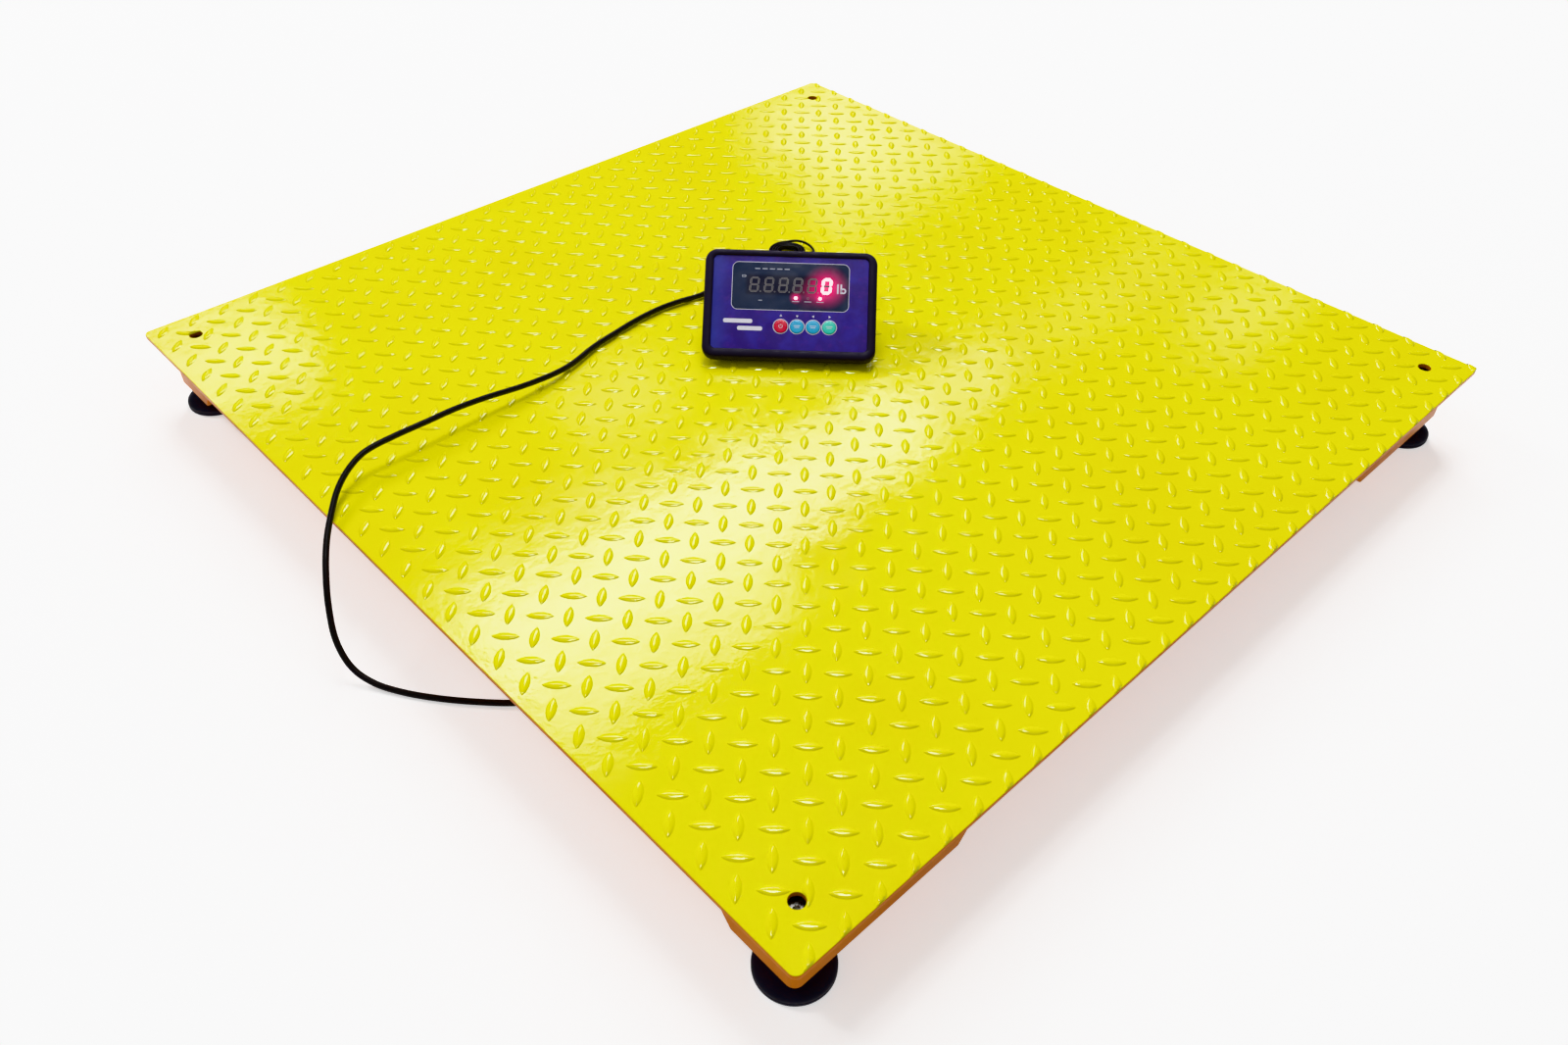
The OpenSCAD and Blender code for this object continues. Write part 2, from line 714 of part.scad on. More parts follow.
// Room beyond one of the rocker's two faces
module rocker_face() {
    translate([-3 * rocker_r, 0, -EPS]) cube([3 * rocker_r - rocker_out, 2 * rocker_r, 12]);
}

// Turned about X at the wall's plane; its two faces meet in a shallow V
module switch_rocker() {
    color("firebrick") on_back(switch_u, port_z) translate([-5, 0, 0]) rotate([0, 90, 0])
        difference() {
            cylinder(r = rocker_r, h = 10);
            rocker_face();
            rotate([0, 0, -rocker_turn]) mirror([0, 1, 0]) rocker_face();
        }
}

// ---------- cables ----------

module scale_cable() {
    color("#18181a") tube(smooth(scale_route, 2), cable_d, 10);
}

module power_plug() {
    color("#18181a") on_back(jack_u, jack_z) {
        translate([0, 0, -7.5]) cylinder(d = 5.5, h = 10);
        translate([0, 0, 2]) cylinder(d = 10, h = 17);
        translate([0, 0, 19]) cylinder(d1 = 8, d2 = 5, h = plug_end - shell_back - 19);
    }
}

module power_lead() {
    color("#18181a") on_deck() {
        tube(smooth(plug_route, 2), lead_d);
        tube(smooth(adapter_route, 2), lead_d);
    }
}

module power_coil() {
    color("#18181a") on_deck() translate([coil_pos[0], coil_pos[1], lug_h]) rotate_extrude()
        translate([coil_turn_r - coil_columns * lead_d / 2, 0])
            square([coil_columns * lead_d, coil_rows * lead_d]);
}

module power_adapter() {
    size = adapter_size;
    color("#202024") on_deck() translate([adapter_pos[0], adapter_pos[1], lug_h]) {
        translate([size[0] / 2, size[1] / 2, 0]) slab(size[0], size[1], 5, size[2]);
        translate([-adapter_boot, size[1] / 2, size[2] / 2]) rotate([0, 90, 0])
            cylinder(d1 = 5, d2 = 9, h = adapter_boot + EPS);
        for (z = [-6.4, 6.4])
            translate([size[0] - 22, size[1] - EPS, size[2] / 2 + z - 0.75]) cube([6.3, 17 + EPS, 1.5]);
    }
}

deck_plate();
deck_ribs();
edge_channels();
at_corner(FRONT) corner_pocket();  // corner_pocket_front
at_corner(RIGHT) corner_pocket();  // corner_pocket_right
at_corner(BACK) corner_pocket();  // corner_pocket_back
at_corner(LEFT) corner_pocket();  // corner_pocket_left
at_corner(FRONT) load_cell();  // load_cell_front
at_corner(RIGHT) load_cell();  // load_cell_right
at_corner(BACK) load_cell();  // load_cell_back
at_corner(LEFT) load_cell();  // load_cell_left
cell_spacers();
cell_bolts();
lock_nuts();
at_corner(FRONT) cell_lead(short_lead);  // cell_lead_front
at_corner(RIGHT) cell_lead(right_lead);  // cell_lead_right
at_corner(BACK) cell_lead(back_lead);  // cell_lead_back
at_corner(LEFT) cell_lead(long_lead);  // cell_lead_left
lead_clips();
lead_grommets();
junction_box();
junction_gasket();
junction_lid();
junction_board();
junction_glands();
junction_screws();
at_corner(FRONT) foot_stud();  // foot_stud_front
at_corner(RIGHT) foot_stud();  // foot_stud_right
at_corner(BACK) foot_stud();  // foot_stud_back
at_corner(LEFT) foot_stud();  // foot_stud_left
at_corner(FRONT) foot_pad();  // foot_pad_front
at_corner(RIGHT) foot_pad();  // foot_pad_right
at_corner(BACK) foot_pad();  // foot_pad_back
at_corner(LEFT) foot_pad();  // foot_pad_left
front_bezel();
face_panel();
display_window();
rear_shell();
base_cover();
indicator_feet();
base_screws();
display_board();
display_modules();
key_switches();
main_board();
battery_pack();
cable_gland();
power_jack();
serial_socket();
switch_frame();
switch_rocker();
key_cap(0, "crimson");  // key_off
key_cap(1, "deepskyblue");  // key_zero
key_cap(2, "deepskyblue");  // key_tare
key_cap(3, "mediumaquamarine");  // key_enter
scale_cable();
power_plug();
power_lead();
power_coil();
power_adapter();
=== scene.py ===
import json
import math

import bpy
from mathutils import Matrix, Vector
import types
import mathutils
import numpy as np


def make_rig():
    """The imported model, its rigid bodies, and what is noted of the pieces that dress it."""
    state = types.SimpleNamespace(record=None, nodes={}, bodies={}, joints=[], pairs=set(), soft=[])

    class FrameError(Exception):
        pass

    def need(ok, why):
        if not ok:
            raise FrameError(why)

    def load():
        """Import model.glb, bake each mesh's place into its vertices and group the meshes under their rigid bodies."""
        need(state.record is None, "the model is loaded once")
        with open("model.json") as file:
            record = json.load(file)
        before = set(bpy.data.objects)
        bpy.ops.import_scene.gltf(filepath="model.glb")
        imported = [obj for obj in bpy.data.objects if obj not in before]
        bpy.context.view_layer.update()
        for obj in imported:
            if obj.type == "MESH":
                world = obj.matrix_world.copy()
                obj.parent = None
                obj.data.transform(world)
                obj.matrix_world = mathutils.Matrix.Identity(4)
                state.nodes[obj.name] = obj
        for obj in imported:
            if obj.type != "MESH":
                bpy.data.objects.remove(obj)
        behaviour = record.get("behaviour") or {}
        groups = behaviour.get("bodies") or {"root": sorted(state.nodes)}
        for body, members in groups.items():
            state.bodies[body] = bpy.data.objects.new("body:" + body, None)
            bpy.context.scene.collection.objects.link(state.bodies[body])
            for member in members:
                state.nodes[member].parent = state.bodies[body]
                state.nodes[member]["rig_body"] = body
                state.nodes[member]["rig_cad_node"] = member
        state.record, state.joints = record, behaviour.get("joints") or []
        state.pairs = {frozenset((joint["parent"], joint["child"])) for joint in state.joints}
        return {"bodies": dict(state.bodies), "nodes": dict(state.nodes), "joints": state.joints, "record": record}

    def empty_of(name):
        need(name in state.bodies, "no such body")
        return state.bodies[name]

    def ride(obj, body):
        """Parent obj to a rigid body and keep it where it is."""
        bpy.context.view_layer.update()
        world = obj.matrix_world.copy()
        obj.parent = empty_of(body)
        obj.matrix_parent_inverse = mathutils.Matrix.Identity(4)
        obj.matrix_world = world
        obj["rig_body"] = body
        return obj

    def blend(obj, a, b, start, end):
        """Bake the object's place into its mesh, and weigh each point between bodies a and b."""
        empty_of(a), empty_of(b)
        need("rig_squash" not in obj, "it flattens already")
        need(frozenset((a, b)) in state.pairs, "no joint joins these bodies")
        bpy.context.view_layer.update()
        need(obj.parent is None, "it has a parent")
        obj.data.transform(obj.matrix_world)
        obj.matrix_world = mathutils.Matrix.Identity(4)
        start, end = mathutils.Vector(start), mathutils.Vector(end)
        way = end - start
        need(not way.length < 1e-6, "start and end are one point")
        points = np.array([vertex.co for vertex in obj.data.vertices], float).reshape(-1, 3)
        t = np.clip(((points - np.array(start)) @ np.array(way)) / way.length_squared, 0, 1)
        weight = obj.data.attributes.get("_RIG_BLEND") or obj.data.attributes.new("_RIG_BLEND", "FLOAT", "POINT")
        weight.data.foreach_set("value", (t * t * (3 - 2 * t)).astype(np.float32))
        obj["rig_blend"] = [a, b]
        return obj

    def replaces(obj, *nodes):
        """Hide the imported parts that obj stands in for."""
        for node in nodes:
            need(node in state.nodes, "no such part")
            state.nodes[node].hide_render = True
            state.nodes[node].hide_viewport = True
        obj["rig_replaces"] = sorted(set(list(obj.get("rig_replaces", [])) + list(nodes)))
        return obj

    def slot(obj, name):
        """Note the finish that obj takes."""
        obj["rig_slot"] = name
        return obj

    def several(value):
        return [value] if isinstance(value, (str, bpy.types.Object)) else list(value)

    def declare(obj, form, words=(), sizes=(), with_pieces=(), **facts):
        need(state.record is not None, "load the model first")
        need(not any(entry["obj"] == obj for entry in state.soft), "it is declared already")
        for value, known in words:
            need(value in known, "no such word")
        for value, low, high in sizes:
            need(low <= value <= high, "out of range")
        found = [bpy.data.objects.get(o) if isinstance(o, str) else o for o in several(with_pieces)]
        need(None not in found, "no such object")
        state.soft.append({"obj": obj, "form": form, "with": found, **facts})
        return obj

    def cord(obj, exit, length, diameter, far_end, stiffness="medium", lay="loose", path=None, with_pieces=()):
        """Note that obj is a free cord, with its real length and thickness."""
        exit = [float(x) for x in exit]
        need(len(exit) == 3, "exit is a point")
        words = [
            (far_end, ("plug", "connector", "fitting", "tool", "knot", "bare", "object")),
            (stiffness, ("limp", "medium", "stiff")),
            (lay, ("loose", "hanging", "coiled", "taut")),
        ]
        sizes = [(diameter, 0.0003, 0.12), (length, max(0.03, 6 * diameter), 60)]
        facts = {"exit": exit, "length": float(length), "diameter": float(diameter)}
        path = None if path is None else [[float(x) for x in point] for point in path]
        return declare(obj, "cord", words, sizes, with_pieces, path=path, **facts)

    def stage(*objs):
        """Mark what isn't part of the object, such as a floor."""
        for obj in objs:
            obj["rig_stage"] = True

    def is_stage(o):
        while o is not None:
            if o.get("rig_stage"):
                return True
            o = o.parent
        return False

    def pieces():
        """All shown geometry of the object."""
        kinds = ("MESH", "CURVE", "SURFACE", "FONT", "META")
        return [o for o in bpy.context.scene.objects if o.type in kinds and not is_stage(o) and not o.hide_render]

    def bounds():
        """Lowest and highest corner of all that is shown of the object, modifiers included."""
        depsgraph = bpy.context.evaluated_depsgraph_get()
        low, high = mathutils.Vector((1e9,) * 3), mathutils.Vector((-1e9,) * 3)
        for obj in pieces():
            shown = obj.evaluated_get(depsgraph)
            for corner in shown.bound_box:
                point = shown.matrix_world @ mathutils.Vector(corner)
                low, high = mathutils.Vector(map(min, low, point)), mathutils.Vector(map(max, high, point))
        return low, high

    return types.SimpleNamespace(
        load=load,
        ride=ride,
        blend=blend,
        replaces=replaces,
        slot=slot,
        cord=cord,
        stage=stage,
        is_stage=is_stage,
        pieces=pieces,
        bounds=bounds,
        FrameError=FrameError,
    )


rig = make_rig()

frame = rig.load()
cad_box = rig.bounds()
nodes = frame["nodes"]

MM = 0.001

# ---------- places ----------
# Millimetres in the row frame, in the indicator's own frame, on its sloping face and on its
# rear wall. The numbers are the CAD model's.

YAW = math.radians(-45.5)
TILT = math.radians(39.5)
RIGHT = Vector((math.cos(YAW), math.sin(YAW), 0))
REAR = Vector((-math.sin(YAW), math.cos(YAW), 0))
UP = Vector((0, 0, 1))
STAND = Vector((-46.5, -11.5, 104))
FACE_Z = 13.5
SHELL_BACK = 126
OUTWARD = -REAR * math.sin(TILT) + UP * math.cos(TILT)
UPSLOPE = REAR * math.cos(TILT) + UP * math.sin(TILT)


def on_floor(x, y, z):
    return Vector((x, y, z)) * MM


def on_deck(u, n, z):
    return (STAND + RIGHT * u + REAR * n + UP * z) * MM


def on_face(u, v, w):
    return (STAND + UP * FACE_Z + RIGHT * u + UPSLOPE * v + OUTWARD * w) * MM


def on_back(u, z, d):
    return on_deck(u, SHELL_BACK + d, z)


# ---------- camera ----------

EYE = (-953.7, -939.1, 1005.2)


def make_camera():
    data = bpy.data.cameras.new("camera")
    data.lens, data.sensor_width = 28.42, 36.0
    data.clip_start, data.clip_end = 0.01, 100
    cam = bpy.data.objects.new("camera", data)
    bpy.context.scene.collection.objects.link(cam)
    right = Vector((0.72424, -0.68934, 0.01516))
    up = Vector((0.45164, 0.49181, 0.74443))
    back = Vector((-0.52012, -0.53282, 0.66752))
    turn = Matrix((right, up, back)).transposed().to_4x4()
    cam.matrix_world = Matrix.Translation(Vector(EYE) * MM) @ turn
    bpy.context.scene.camera = cam


make_camera()

# ---------- materials ----------


class Shader:
    """A Principled material and the few node chains that the finishes share. Lengths are in
    metres of the piece's own coordinates."""

    def __init__(self, name, colour, rough, metallic=0.0, specular=0.5, coat=0.0, coat_rough=0.1):
        self.mat = bpy.data.materials.new(name)
        self.mat.use_nodes = True
        self.tree = self.mat.node_tree
        self.bsdf = self.tree.nodes["Principled BSDF"]
        self.colour = (*colour, 1.0)
        self.set("Base Color", self.colour)
        self.set("Roughness", rough)
        self.set("Metallic", metallic)
        self.set("Specular IOR Level", specular)
        self.set("Coat Weight", coat)
        self.set("Coat Roughness", coat_rough)
        self.coords = self.node("ShaderNodeTexCoord").outputs["Object"]
        self.flat = None

    def node(self, kind, **settings):
        made = self.tree.nodes.new(kind)
        for key, value in settings.items():
            setattr(made, key, value)
        return made

    def link(self, a, b):
        self.tree.links.new(a, b)

    def set(self, socket, value):
        self.bsdf.inputs[socket].default_value = value

    def noise(self, size, detail=3.0, rough=0.5, stretch=(1, 1, 1), coords=None):
        """Noise from 0 to 1 with features about size across."""
        scale = self.node("ShaderNodeMapping")
        scale.inputs["Scale"].default_value = [s / size for s in stretch]
        self.link(coords or self.coords, scale.inputs["Vector"])
        made = self.node("ShaderNodeTexNoise")
        made.inputs["Scale"].default_value = 1.0
        made.inputs["Detail"].default_value = detail
        made.inputs["Roughness"].default_value = rough
        self.link(scale.outputs["Vector"], made.inputs["Vector"])
        return made.outputs["Fac"]

    def math(self, op, a, b=0.0, c=0.0, clamp=False):
        made = self.node("ShaderNodeMath", operation=op, use_clamp=clamp)
        for socket, value in zip(made.inputs, (a, b, c)):
            if isinstance(value, (int, float)):
                socket.default_value = value
            else:
                self.link(value, socket)
        return made.outputs[0]

    def between(self, value, low, high, out_low=0.0, out_high=1.0):
        """value mapped from low..high to out_low..out_high with soft ends."""
        made = self.node("ShaderNodeMapRange", interpolation_type="SMOOTHSTEP")
        for key, number in (("From Min", low), ("From Max", high), ("To Min", out_low), ("To Max", out_high)):
            made.inputs[key].default_value = number
        self.link(value, made.inputs["Value"])
        return made.outputs["Result"]

    def blend(self, factor, a, b):
        made = self.node("ShaderNodeMix", data_type="RGBA")
        self.link(factor, made.inputs[0])
        for socket, value in ((made.inputs[6], a), (made.inputs[7], b)):
            if isinstance(value, tuple):
                socket.default_value = (*value[:3], 1.0)
            else:
                self.link(value, socket)
        return made.outputs[2]

    def tint(self, factor, other):
        """Turns the base colour towards other where factor is high."""
        self.flat = self.blend(factor, self.flat or self.colour, other)
        self.link(self.flat, self.bsdf.inputs["Base Color"])

    def rough_from(self, value, low, high, out_low, out_high):
        self.link(self.between(value, low, high, out_low, out_high), self.bsdf.inputs["Roughness"])

    def bump(self, *heights):
        """heights: (value, depth in metres) pairs, laid over each other."""
        last = None
        for value, depth in heights:
            made = self.node("ShaderNodeBump")
            made.inputs["Strength"].default_value = 1.0
            made.inputs["Distance"].default_value = depth
            self.link(value, made.inputs["Height"])
            if last is not None:
                self.link(last, made.inputs["Normal"])
            last = made.outputs["Normal"]
        self.link(last, self.bsdf.inputs["Normal"])


def enamel(name, colour, deep, sheen, specular=0.5, rough=(0.06, 0.12)):
    """Glossy enamel over rolled plate: orange peel, slow waves, and a slightly thinner film in places."""
    s = Shader(name, colour, 0.2, specular=specular)
    s.set("Specular Tint", (*sheen, 1.0))
    s.tint(s.between(s.noise(0.16, 4), 0.42, 0.72, 0.0, 0.5), deep)
    s.tint(s.between(s.noise(0.004, 2), 0.60, 0.80, 0.0, 0.2), deep)
    s.rough_from(s.noise(0.07, 4, 0.6), 0.35, 0.7, *rough)
    s.bump((s.noise(0.06, 2, 0.45), 0.0005), (s.noise(0.014, 4, 0.7), 0.00022), (s.noise(0.0028, 2), 0.00001))
    return s


def moulded(name, colour, rough=0.5, specular=0.4, grain=0.0006, depth=0.00003, worn=None):
    """Moulded plastic or rubber with a fine eroded texture."""
    s = Shader(name, colour, rough, specular=specular)
    s.tint(s.between(s.noise(0.03, 3), 0.4, 0.75, 0.0, 0.6), worn or tuple(c * 1.5 + 0.004 for c in colour))
    s.rough_from(s.noise(0.012, 3), 0.3, 0.7, rough - 0.07, rough + 0.1)
    s.bump((s.noise(grain, 2), depth))
    return s


def metal(name, colour, rough=0.3, brushed=(1, 1, 1)):
    """Plated steel: fine brushing along one axis and duller patches."""
    s = Shader(name, colour, rough, metallic=1.0)
    s.tint(s.between(s.noise(0.012, 4), 0.45, 0.7, 0.0, 0.7), tuple(c * 0.72 for c in colour))
    s.rough_from(s.noise(0.006, 3), 0.3, 0.7, rough - 0.08, rough + 0.15)
    s.bump((s.noise(0.0012, 3, stretch=brushed), 0.00003))
    return s


def threaded_steel(name, colour):
    """Zinc plate with a 2 mm thread above the foot's hexagon."""
    half_pitch, thread_from = 0.001, 0.0305
    s = Shader(name, colour, 0.3, metallic=1.0)
    s.tint(s.between(s.noise(0.01, 4), 0.45, 0.7, 0.0, 0.8), tuple(c * 0.6 for c in colour))
    axes = s.node("ShaderNodeSeparateXYZ")
    s.link(s.coords, axes.inputs[0])
    turns = s.math("PINGPONG", axes.outputs["Z"], half_pitch)
    shank = s.math("GREATER_THAN", axes.outputs["Z"], thread_from)
    s.bump((s.math("MULTIPLY", turns, shank), 1.0))
    s.rough_from(s.noise(0.004, 3), 0.3, 0.7, 0.22, 0.42)
    return s


def board(name):
    """Green solder mask with copper tracks showing through it."""
    s = Shader(name, (0.008, 0.09, 0.03), 0.3, coat=0.3)
    cells = s.node("ShaderNodeTexVoronoi", feature="DISTANCE_TO_EDGE", distance="MANHATTAN")
    cells.inputs["Scale"].default_value = 160
    s.link(s.coords, cells.inputs["Vector"])
    s.tint(s.between(cells.outputs["Distance"], 0.05, 0.09, 1.0, 0.0), (0.02, 0.2, 0.06))
    s.rough_from(s.noise(0.01, 3), 0.3, 0.7, 0.22, 0.4)
    return s


def printed(name, colour, glow=(0, 0, 0), power=0.0):
    """Screen-printed ink, or a lit segment of a display."""
    s = Shader(name, colour, 0.4)
    s.tint(s.between(s.noise(0.002, 2), 0.4, 0.8, 0.0, 0.25), tuple(c * 0.75 for c in colour))
    s.set("Emission Color", (*glow, 1.0))
    s.set("Emission Strength", power)
    return s


def halo(s, u, v, spots):
    """Red light spilling round lit spots of a face, given as (u, v, reach in mm, strength)."""
    total = None
    for x, y, reach, strength in spots:
        du = s.math("SUBTRACT", u, x)
        dv = s.math("SUBTRACT", v, y)
        gap = s.math("SQRT", s.math("ADD", s.math("MULTIPLY", du, du), s.math("MULTIPLY", dv, dv)))
        near = s.math("POWER", s.math("SUBTRACT", 1.0, s.math("DIVIDE", gap, reach), clamp=True), 2.0)
        part = s.math("MULTIPLY", near, strength)
        total = part if total is None else s.math("ADD", total, part)
    s.set("Emission Color", (1.0, 0.0, 0.17, 1.0))
    s.link(total, s.bsdf.inputs["Emission Strength"])


# The lit digit, the two lit lamps and the space under the digits.
GLOW_SPOTS = [(45.5, 97.0, 33, 1.6), (7.1, 82.0, 10, 1.2), (38.0, 81.7, 10, 0.8), (24.0, 86.0, 26, 0.2)]


# Millimetres of the face to one unit of its UV map.
UV_SPAN = 200


def face_axes(s):
    """The face's own coordinates in millimetres, from the UV map that its pieces carry."""
    uv = s.node("ShaderNodeUVMap", uv_map="face")
    axes = s.node("ShaderNodeSeparateXYZ")
    s.link(uv.outputs["UV"], axes.inputs[0])
    return s.math("MULTIPLY", axes.outputs["X"], UV_SPAN), s.math("MULTIPLY", axes.outputs["Y"], UV_SPAN)


def panel_film(name):
    """Indigo printed film with lighter cloudy patches, a soft sheen, and a painted sheen that lightens its left edge.
    """
    s = Shader(name, (0.044, 0.024, 0.215), 0.34, specular=0.25)
    u, v = face_axes(s)
    s.tint(s.between(s.noise(0.028, 3, 0.6), 0.40, 0.68, 0.0, 0.85), (0.053, 0.036, 0.34))
    s.tint(s.between(s.noise(0.011, 3, 0.6), 0.50, 0.78, 0.0, 0.55), (0.096, 0.034, 0.29))
    # Lighter and bluer towards the left edge of the face: a painted sheen.
    s.tint(s.between(u, -99, -72, 0.6, 0.0), (0.056, 0.072, 0.39))
    s.rough_from(s.noise(0.02, 3), 0.3, 0.7, 0.28, 0.42)
    s.bump((s.noise(0.0009, 2), 0.000012))
    halo(s, u, v, GLOW_SPOTS)
    return s


def window_film(name):
    """Smoked window, with the digits' dark block behind it."""
    s = Shader(name, (0.032, 0.042, 0.082), 0.2, specular=0.35)
    u, v = face_axes(s)
    s.tint(s.between(s.noise(0.03, 2), 0.4, 0.7, 0.0, 0.6), (0.042, 0.056, 0.105))
    wide = s.between(s.math("ABSOLUTE", s.math("ADD", u, 0.5)), 52, 60, 0.8, 0.0)
    high = s.between(s.math("ABSOLUTE", s.math("SUBTRACT", v, 98.3)), 10, 16, 1.0, 0.0)
    s.tint(s.math("MULTIPLY", wide, high), (0.019, 0.017, 0.032))
    s.rough_from(s.noise(0.02, 3), 0.3, 0.7, 0.14, 0.26)
    halo(s, u, v, GLOW_SPOTS)
    return s


DECK = enamel("deck_paint", (0.60, 0.555, 0.0), (0.58, 0.51, 0.0), (0.85, 0.93, 1.0)).mat
# The deck's yellow darkened to orange-brown: painted shade, for the plate's edges and the frame under it.
SHADED_PAINT = enamel("frame_paint", (0.42, 0.125, 0.0), (0.33, 0.085, 0.0), (1.0, 0.6, 0.2), 0.08, (0.3, 0.42)).mat
CELL = metal("cell_steel", (0.56, 0.57, 0.60), 0.32, (0.12, 1, 1)).mat
ZINC = metal("zinc_steel", (0.62, 0.62, 0.59), 0.3).mat
STUD = threaded_steel("stud_steel", (0.62, 0.62, 0.59)).mat
BRASS = metal("contact_brass", (0.70, 0.52, 0.22), 0.25).mat
FOOT = moulded("foot_rubber", (0.018, 0.018, 0.027), 0.5, 0.35, 0.0009, 0.00004, (0.026, 0.026, 0.038)).mat
GROMMET = moulded("grommet_rubber", (0.014, 0.014, 0.015), 0.6).mat
SHEATH = moulded("cable_sheath", (0.015, 0.0135, 0.0135), 0.45, 0.2, 0.0012, 0.00003,
                 (0.020, 0.018, 0.018)).mat
CELL_SHEATH = moulded("lead_sheath", (0.03, 0.03, 0.032), 0.42).mat
NYLON = moulded("clip_nylon", (0.72, 0.72, 0.68), 0.45, worn=(0.66, 0.64, 0.56)).mat
BOX = moulded("box_plastic", (0.40, 0.41, 0.42), 0.45, worn=(0.33, 0.34, 0.35)).mat
BOARD = board("circuit_board").mat
BLACK = moulded("black_plastic", (0.020, 0.020, 0.022), 0.46, 0.35).mat
BEZEL = moulded("bezel_plastic", (0.032, 0.028, 0.045), 0.5, 0.15, 0.0008, 0.00003, (0.040, 0.035, 0.056)).mat
PANEL = panel_film("panel_film").mat
WINDOW = window_film("window_film").mat
MODULE = moulded("module_plastic", (0.10, 0.10, 0.11), 0.4).mat
WRAP = moulded("battery_wrap", (0.02, 0.09, 0.34), 0.22, 0.5).mat
SWITCH_RED = moulded("switch_red", (0.33, 0.008, 0.008), 0.3, 0.5).mat
KEY_RED = moulded("key_red", (0.62, 0.0, 0.035), 0.3, 0.5, worn=(0.68, 0.015, 0.06)).mat
KEY_CYAN = moulded("key_cyan", (0.02, 0.36, 0.66), 0.3, 0.5, worn=(0.05, 0.45, 0.74)).mat
KEY_GREEN = moulded("key_green", (0.03, 0.56, 0.45), 0.3, 0.5, worn=(0.08, 0.66, 0.56)).mat
INK = printed("white_ink", (0.74, 0.72, 0.86)).mat
INK_DIM = printed("dim_ink", (0.48, 0.50, 0.62)).mat
UNLIT = printed("unlit_segment", (0.036, 0.033, 0.036)).mat
UNLIT_EDGE = printed("unlit_edge", (0.22, 0.20, 0.22)).mat
LIT = printed("lit_segment", (0.95, 0.8, 0.86), (1.0, 0.70, 0.80), 5.0).mat

# ---------- meshes ----------


def piece(name, verts, faces, mat, body=None, smooth=40, replaces=(), slot=None, uvs=None):
    """A mesh object in the row frame. uvs, one per vertex, make the "face" UV map."""
    mesh = bpy.data.meshes.new(name)
    mesh.from_pydata([tuple(v) for v in verts], [], faces)
    mesh.materials.append(mat)
    if uvs:
        layer = mesh.uv_layers.new(name="face")
        for loop in mesh.loops:
            layer.data[loop.index].uv = uvs[loop.vertex_index]
    if smooth:
        mesh.shade_smooth()
        mesh.set_sharp_from_angle(angle=math.radians(smooth))
    made = bpy.data.objects.new(name, mesh)
    bpy.context.scene.collection.objects.link(made)
    if replaces:
        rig.replaces(made, *replaces)
    if slot:
        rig.slot(made, slot)
    if body:
        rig.ride(made, body)
    return made


class Parts:
    """Verts and faces of several closed shapes gathered into one piece."""

    def __init__(self):
        self.verts, self.faces = [], []

    def add(self, verts, faces):
        start = len(self.verts)
        self.verts += verts
        self.faces += [[start + i for i in f] for f in faces]


def loft(loops, caps=False, closed=False):
    """Quads between loops of equal length. closed joins the last loop to the first."""
    n = len(loops[0])
    verts = [p for loop in loops for p in loop]
    faces = []
    for i in range(len(loops) if closed else len(loops) - 1):
        a, b = i * n, (i + 1) % len(loops) * n
        for k in range(n):
            m = (k + 1) % n
            faces.append([a + k, a + m, b + m, b + k])
    if caps:
        faces.append(list(range(n - 1, -1, -1)))
        faces.append([len(verts) - n + k for k in range(n)])
    return verts, faces


def lathe(place, profile, sides=48):
    """Turns (radius, height) pairs about the axis of place(x, y, height), in millimetres."""
    loops = [[place(x, y, h) for x, y in circle(0, 0, r, sides)] for r, h in profile]
    return loft(loops, caps=True)


def rounded(w, h, r, steps=8):
    """Outline of a rounded rectangle about the origin."""
    out = []
    for i, (sx, sy) in enumerate(((1, 1), (-1, 1), (-1, -1), (1, -1))):
        for k in range(steps + 1):
            a = math.pi / 2 * (i + k / steps)
            out.append((sx * (w / 2 - r) + r * math.cos(a), sy * (h / 2 - r) + r * math.sin(a)))
    return out


def circle(x, y, r, sides=32):
    """Outline of a circle about (x, y)."""
    return [(x + r * math.cos(2 * math.pi * k / sides), y + r * math.sin(2 * math.pi * k / sides))
            for k in range(sides)]


def shifted(outline, x, y):
    """An outline moved by (x, y)."""
    return [(a + x, b + y) for a, b in outline]


def plate(outer, holes, bottom, top, edge, place):
    """A flat plate with holes and rounded edges: outlines in millimetres, edges rounded by edge."""
    curve = bpy.data.curves.new("outline", "CURVE")
    curve.dimensions = "2D"
    curve.fill_mode = "BOTH"
    for points in [outer] + [h[::-1] for h in holes]:
        spline = curve.splines.new("POLY")
        spline.points.add(len(points) - 1)
        for dot, (x, y) in zip(spline.points, points):
            dot.co = (x, y, 0, 1)
        spline.use_cyclic_u = True
    curve.extrude = (top - bottom) / 2 - edge
    curve.bevel_depth = edge
    curve.bevel_resolution = 2
    curve.offset = -edge
    holder = bpy.data.objects.new("outline", curve)
    bpy.context.scene.collection.objects.link(holder)
    mesh = bpy.data.meshes.new_from_object(holder.evaluated_get(bpy.context.evaluated_depsgraph_get()))
    flat = [tuple(v.co) for v in mesh.vertices]
    faces = [list(p.vertices) for p in mesh.polygons]
    bpy.data.objects.remove(holder)
    bpy.data.meshes.remove(mesh)
    middle = (bottom + top) / 2
    uvs = [(x / UV_SPAN, y / UV_SPAN) for x, y, z in flat]
    return [place(x, y, z + middle) for x, y, z in flat], faces, uvs


def curve_points(points, steps):
    """A smooth curve through points, as the CAD model draws it."""
    out = []
    last = len(points) - 1
    for i in range(last):
        a, b, c, d = (points[max(0, min(last, j))] for j in (i - 1, i, i + 1, i + 2))
        for s in range(steps):
            t = s / steps
            out.append(b + (c - a) * (t / 2) + (2 * a - 5 * b + 4 * c - d) * (t * t / 2)
                       + (3 * b - a - 3 * c + d) * (t ** 3 / 2))
    return out + [points[-1].copy()]


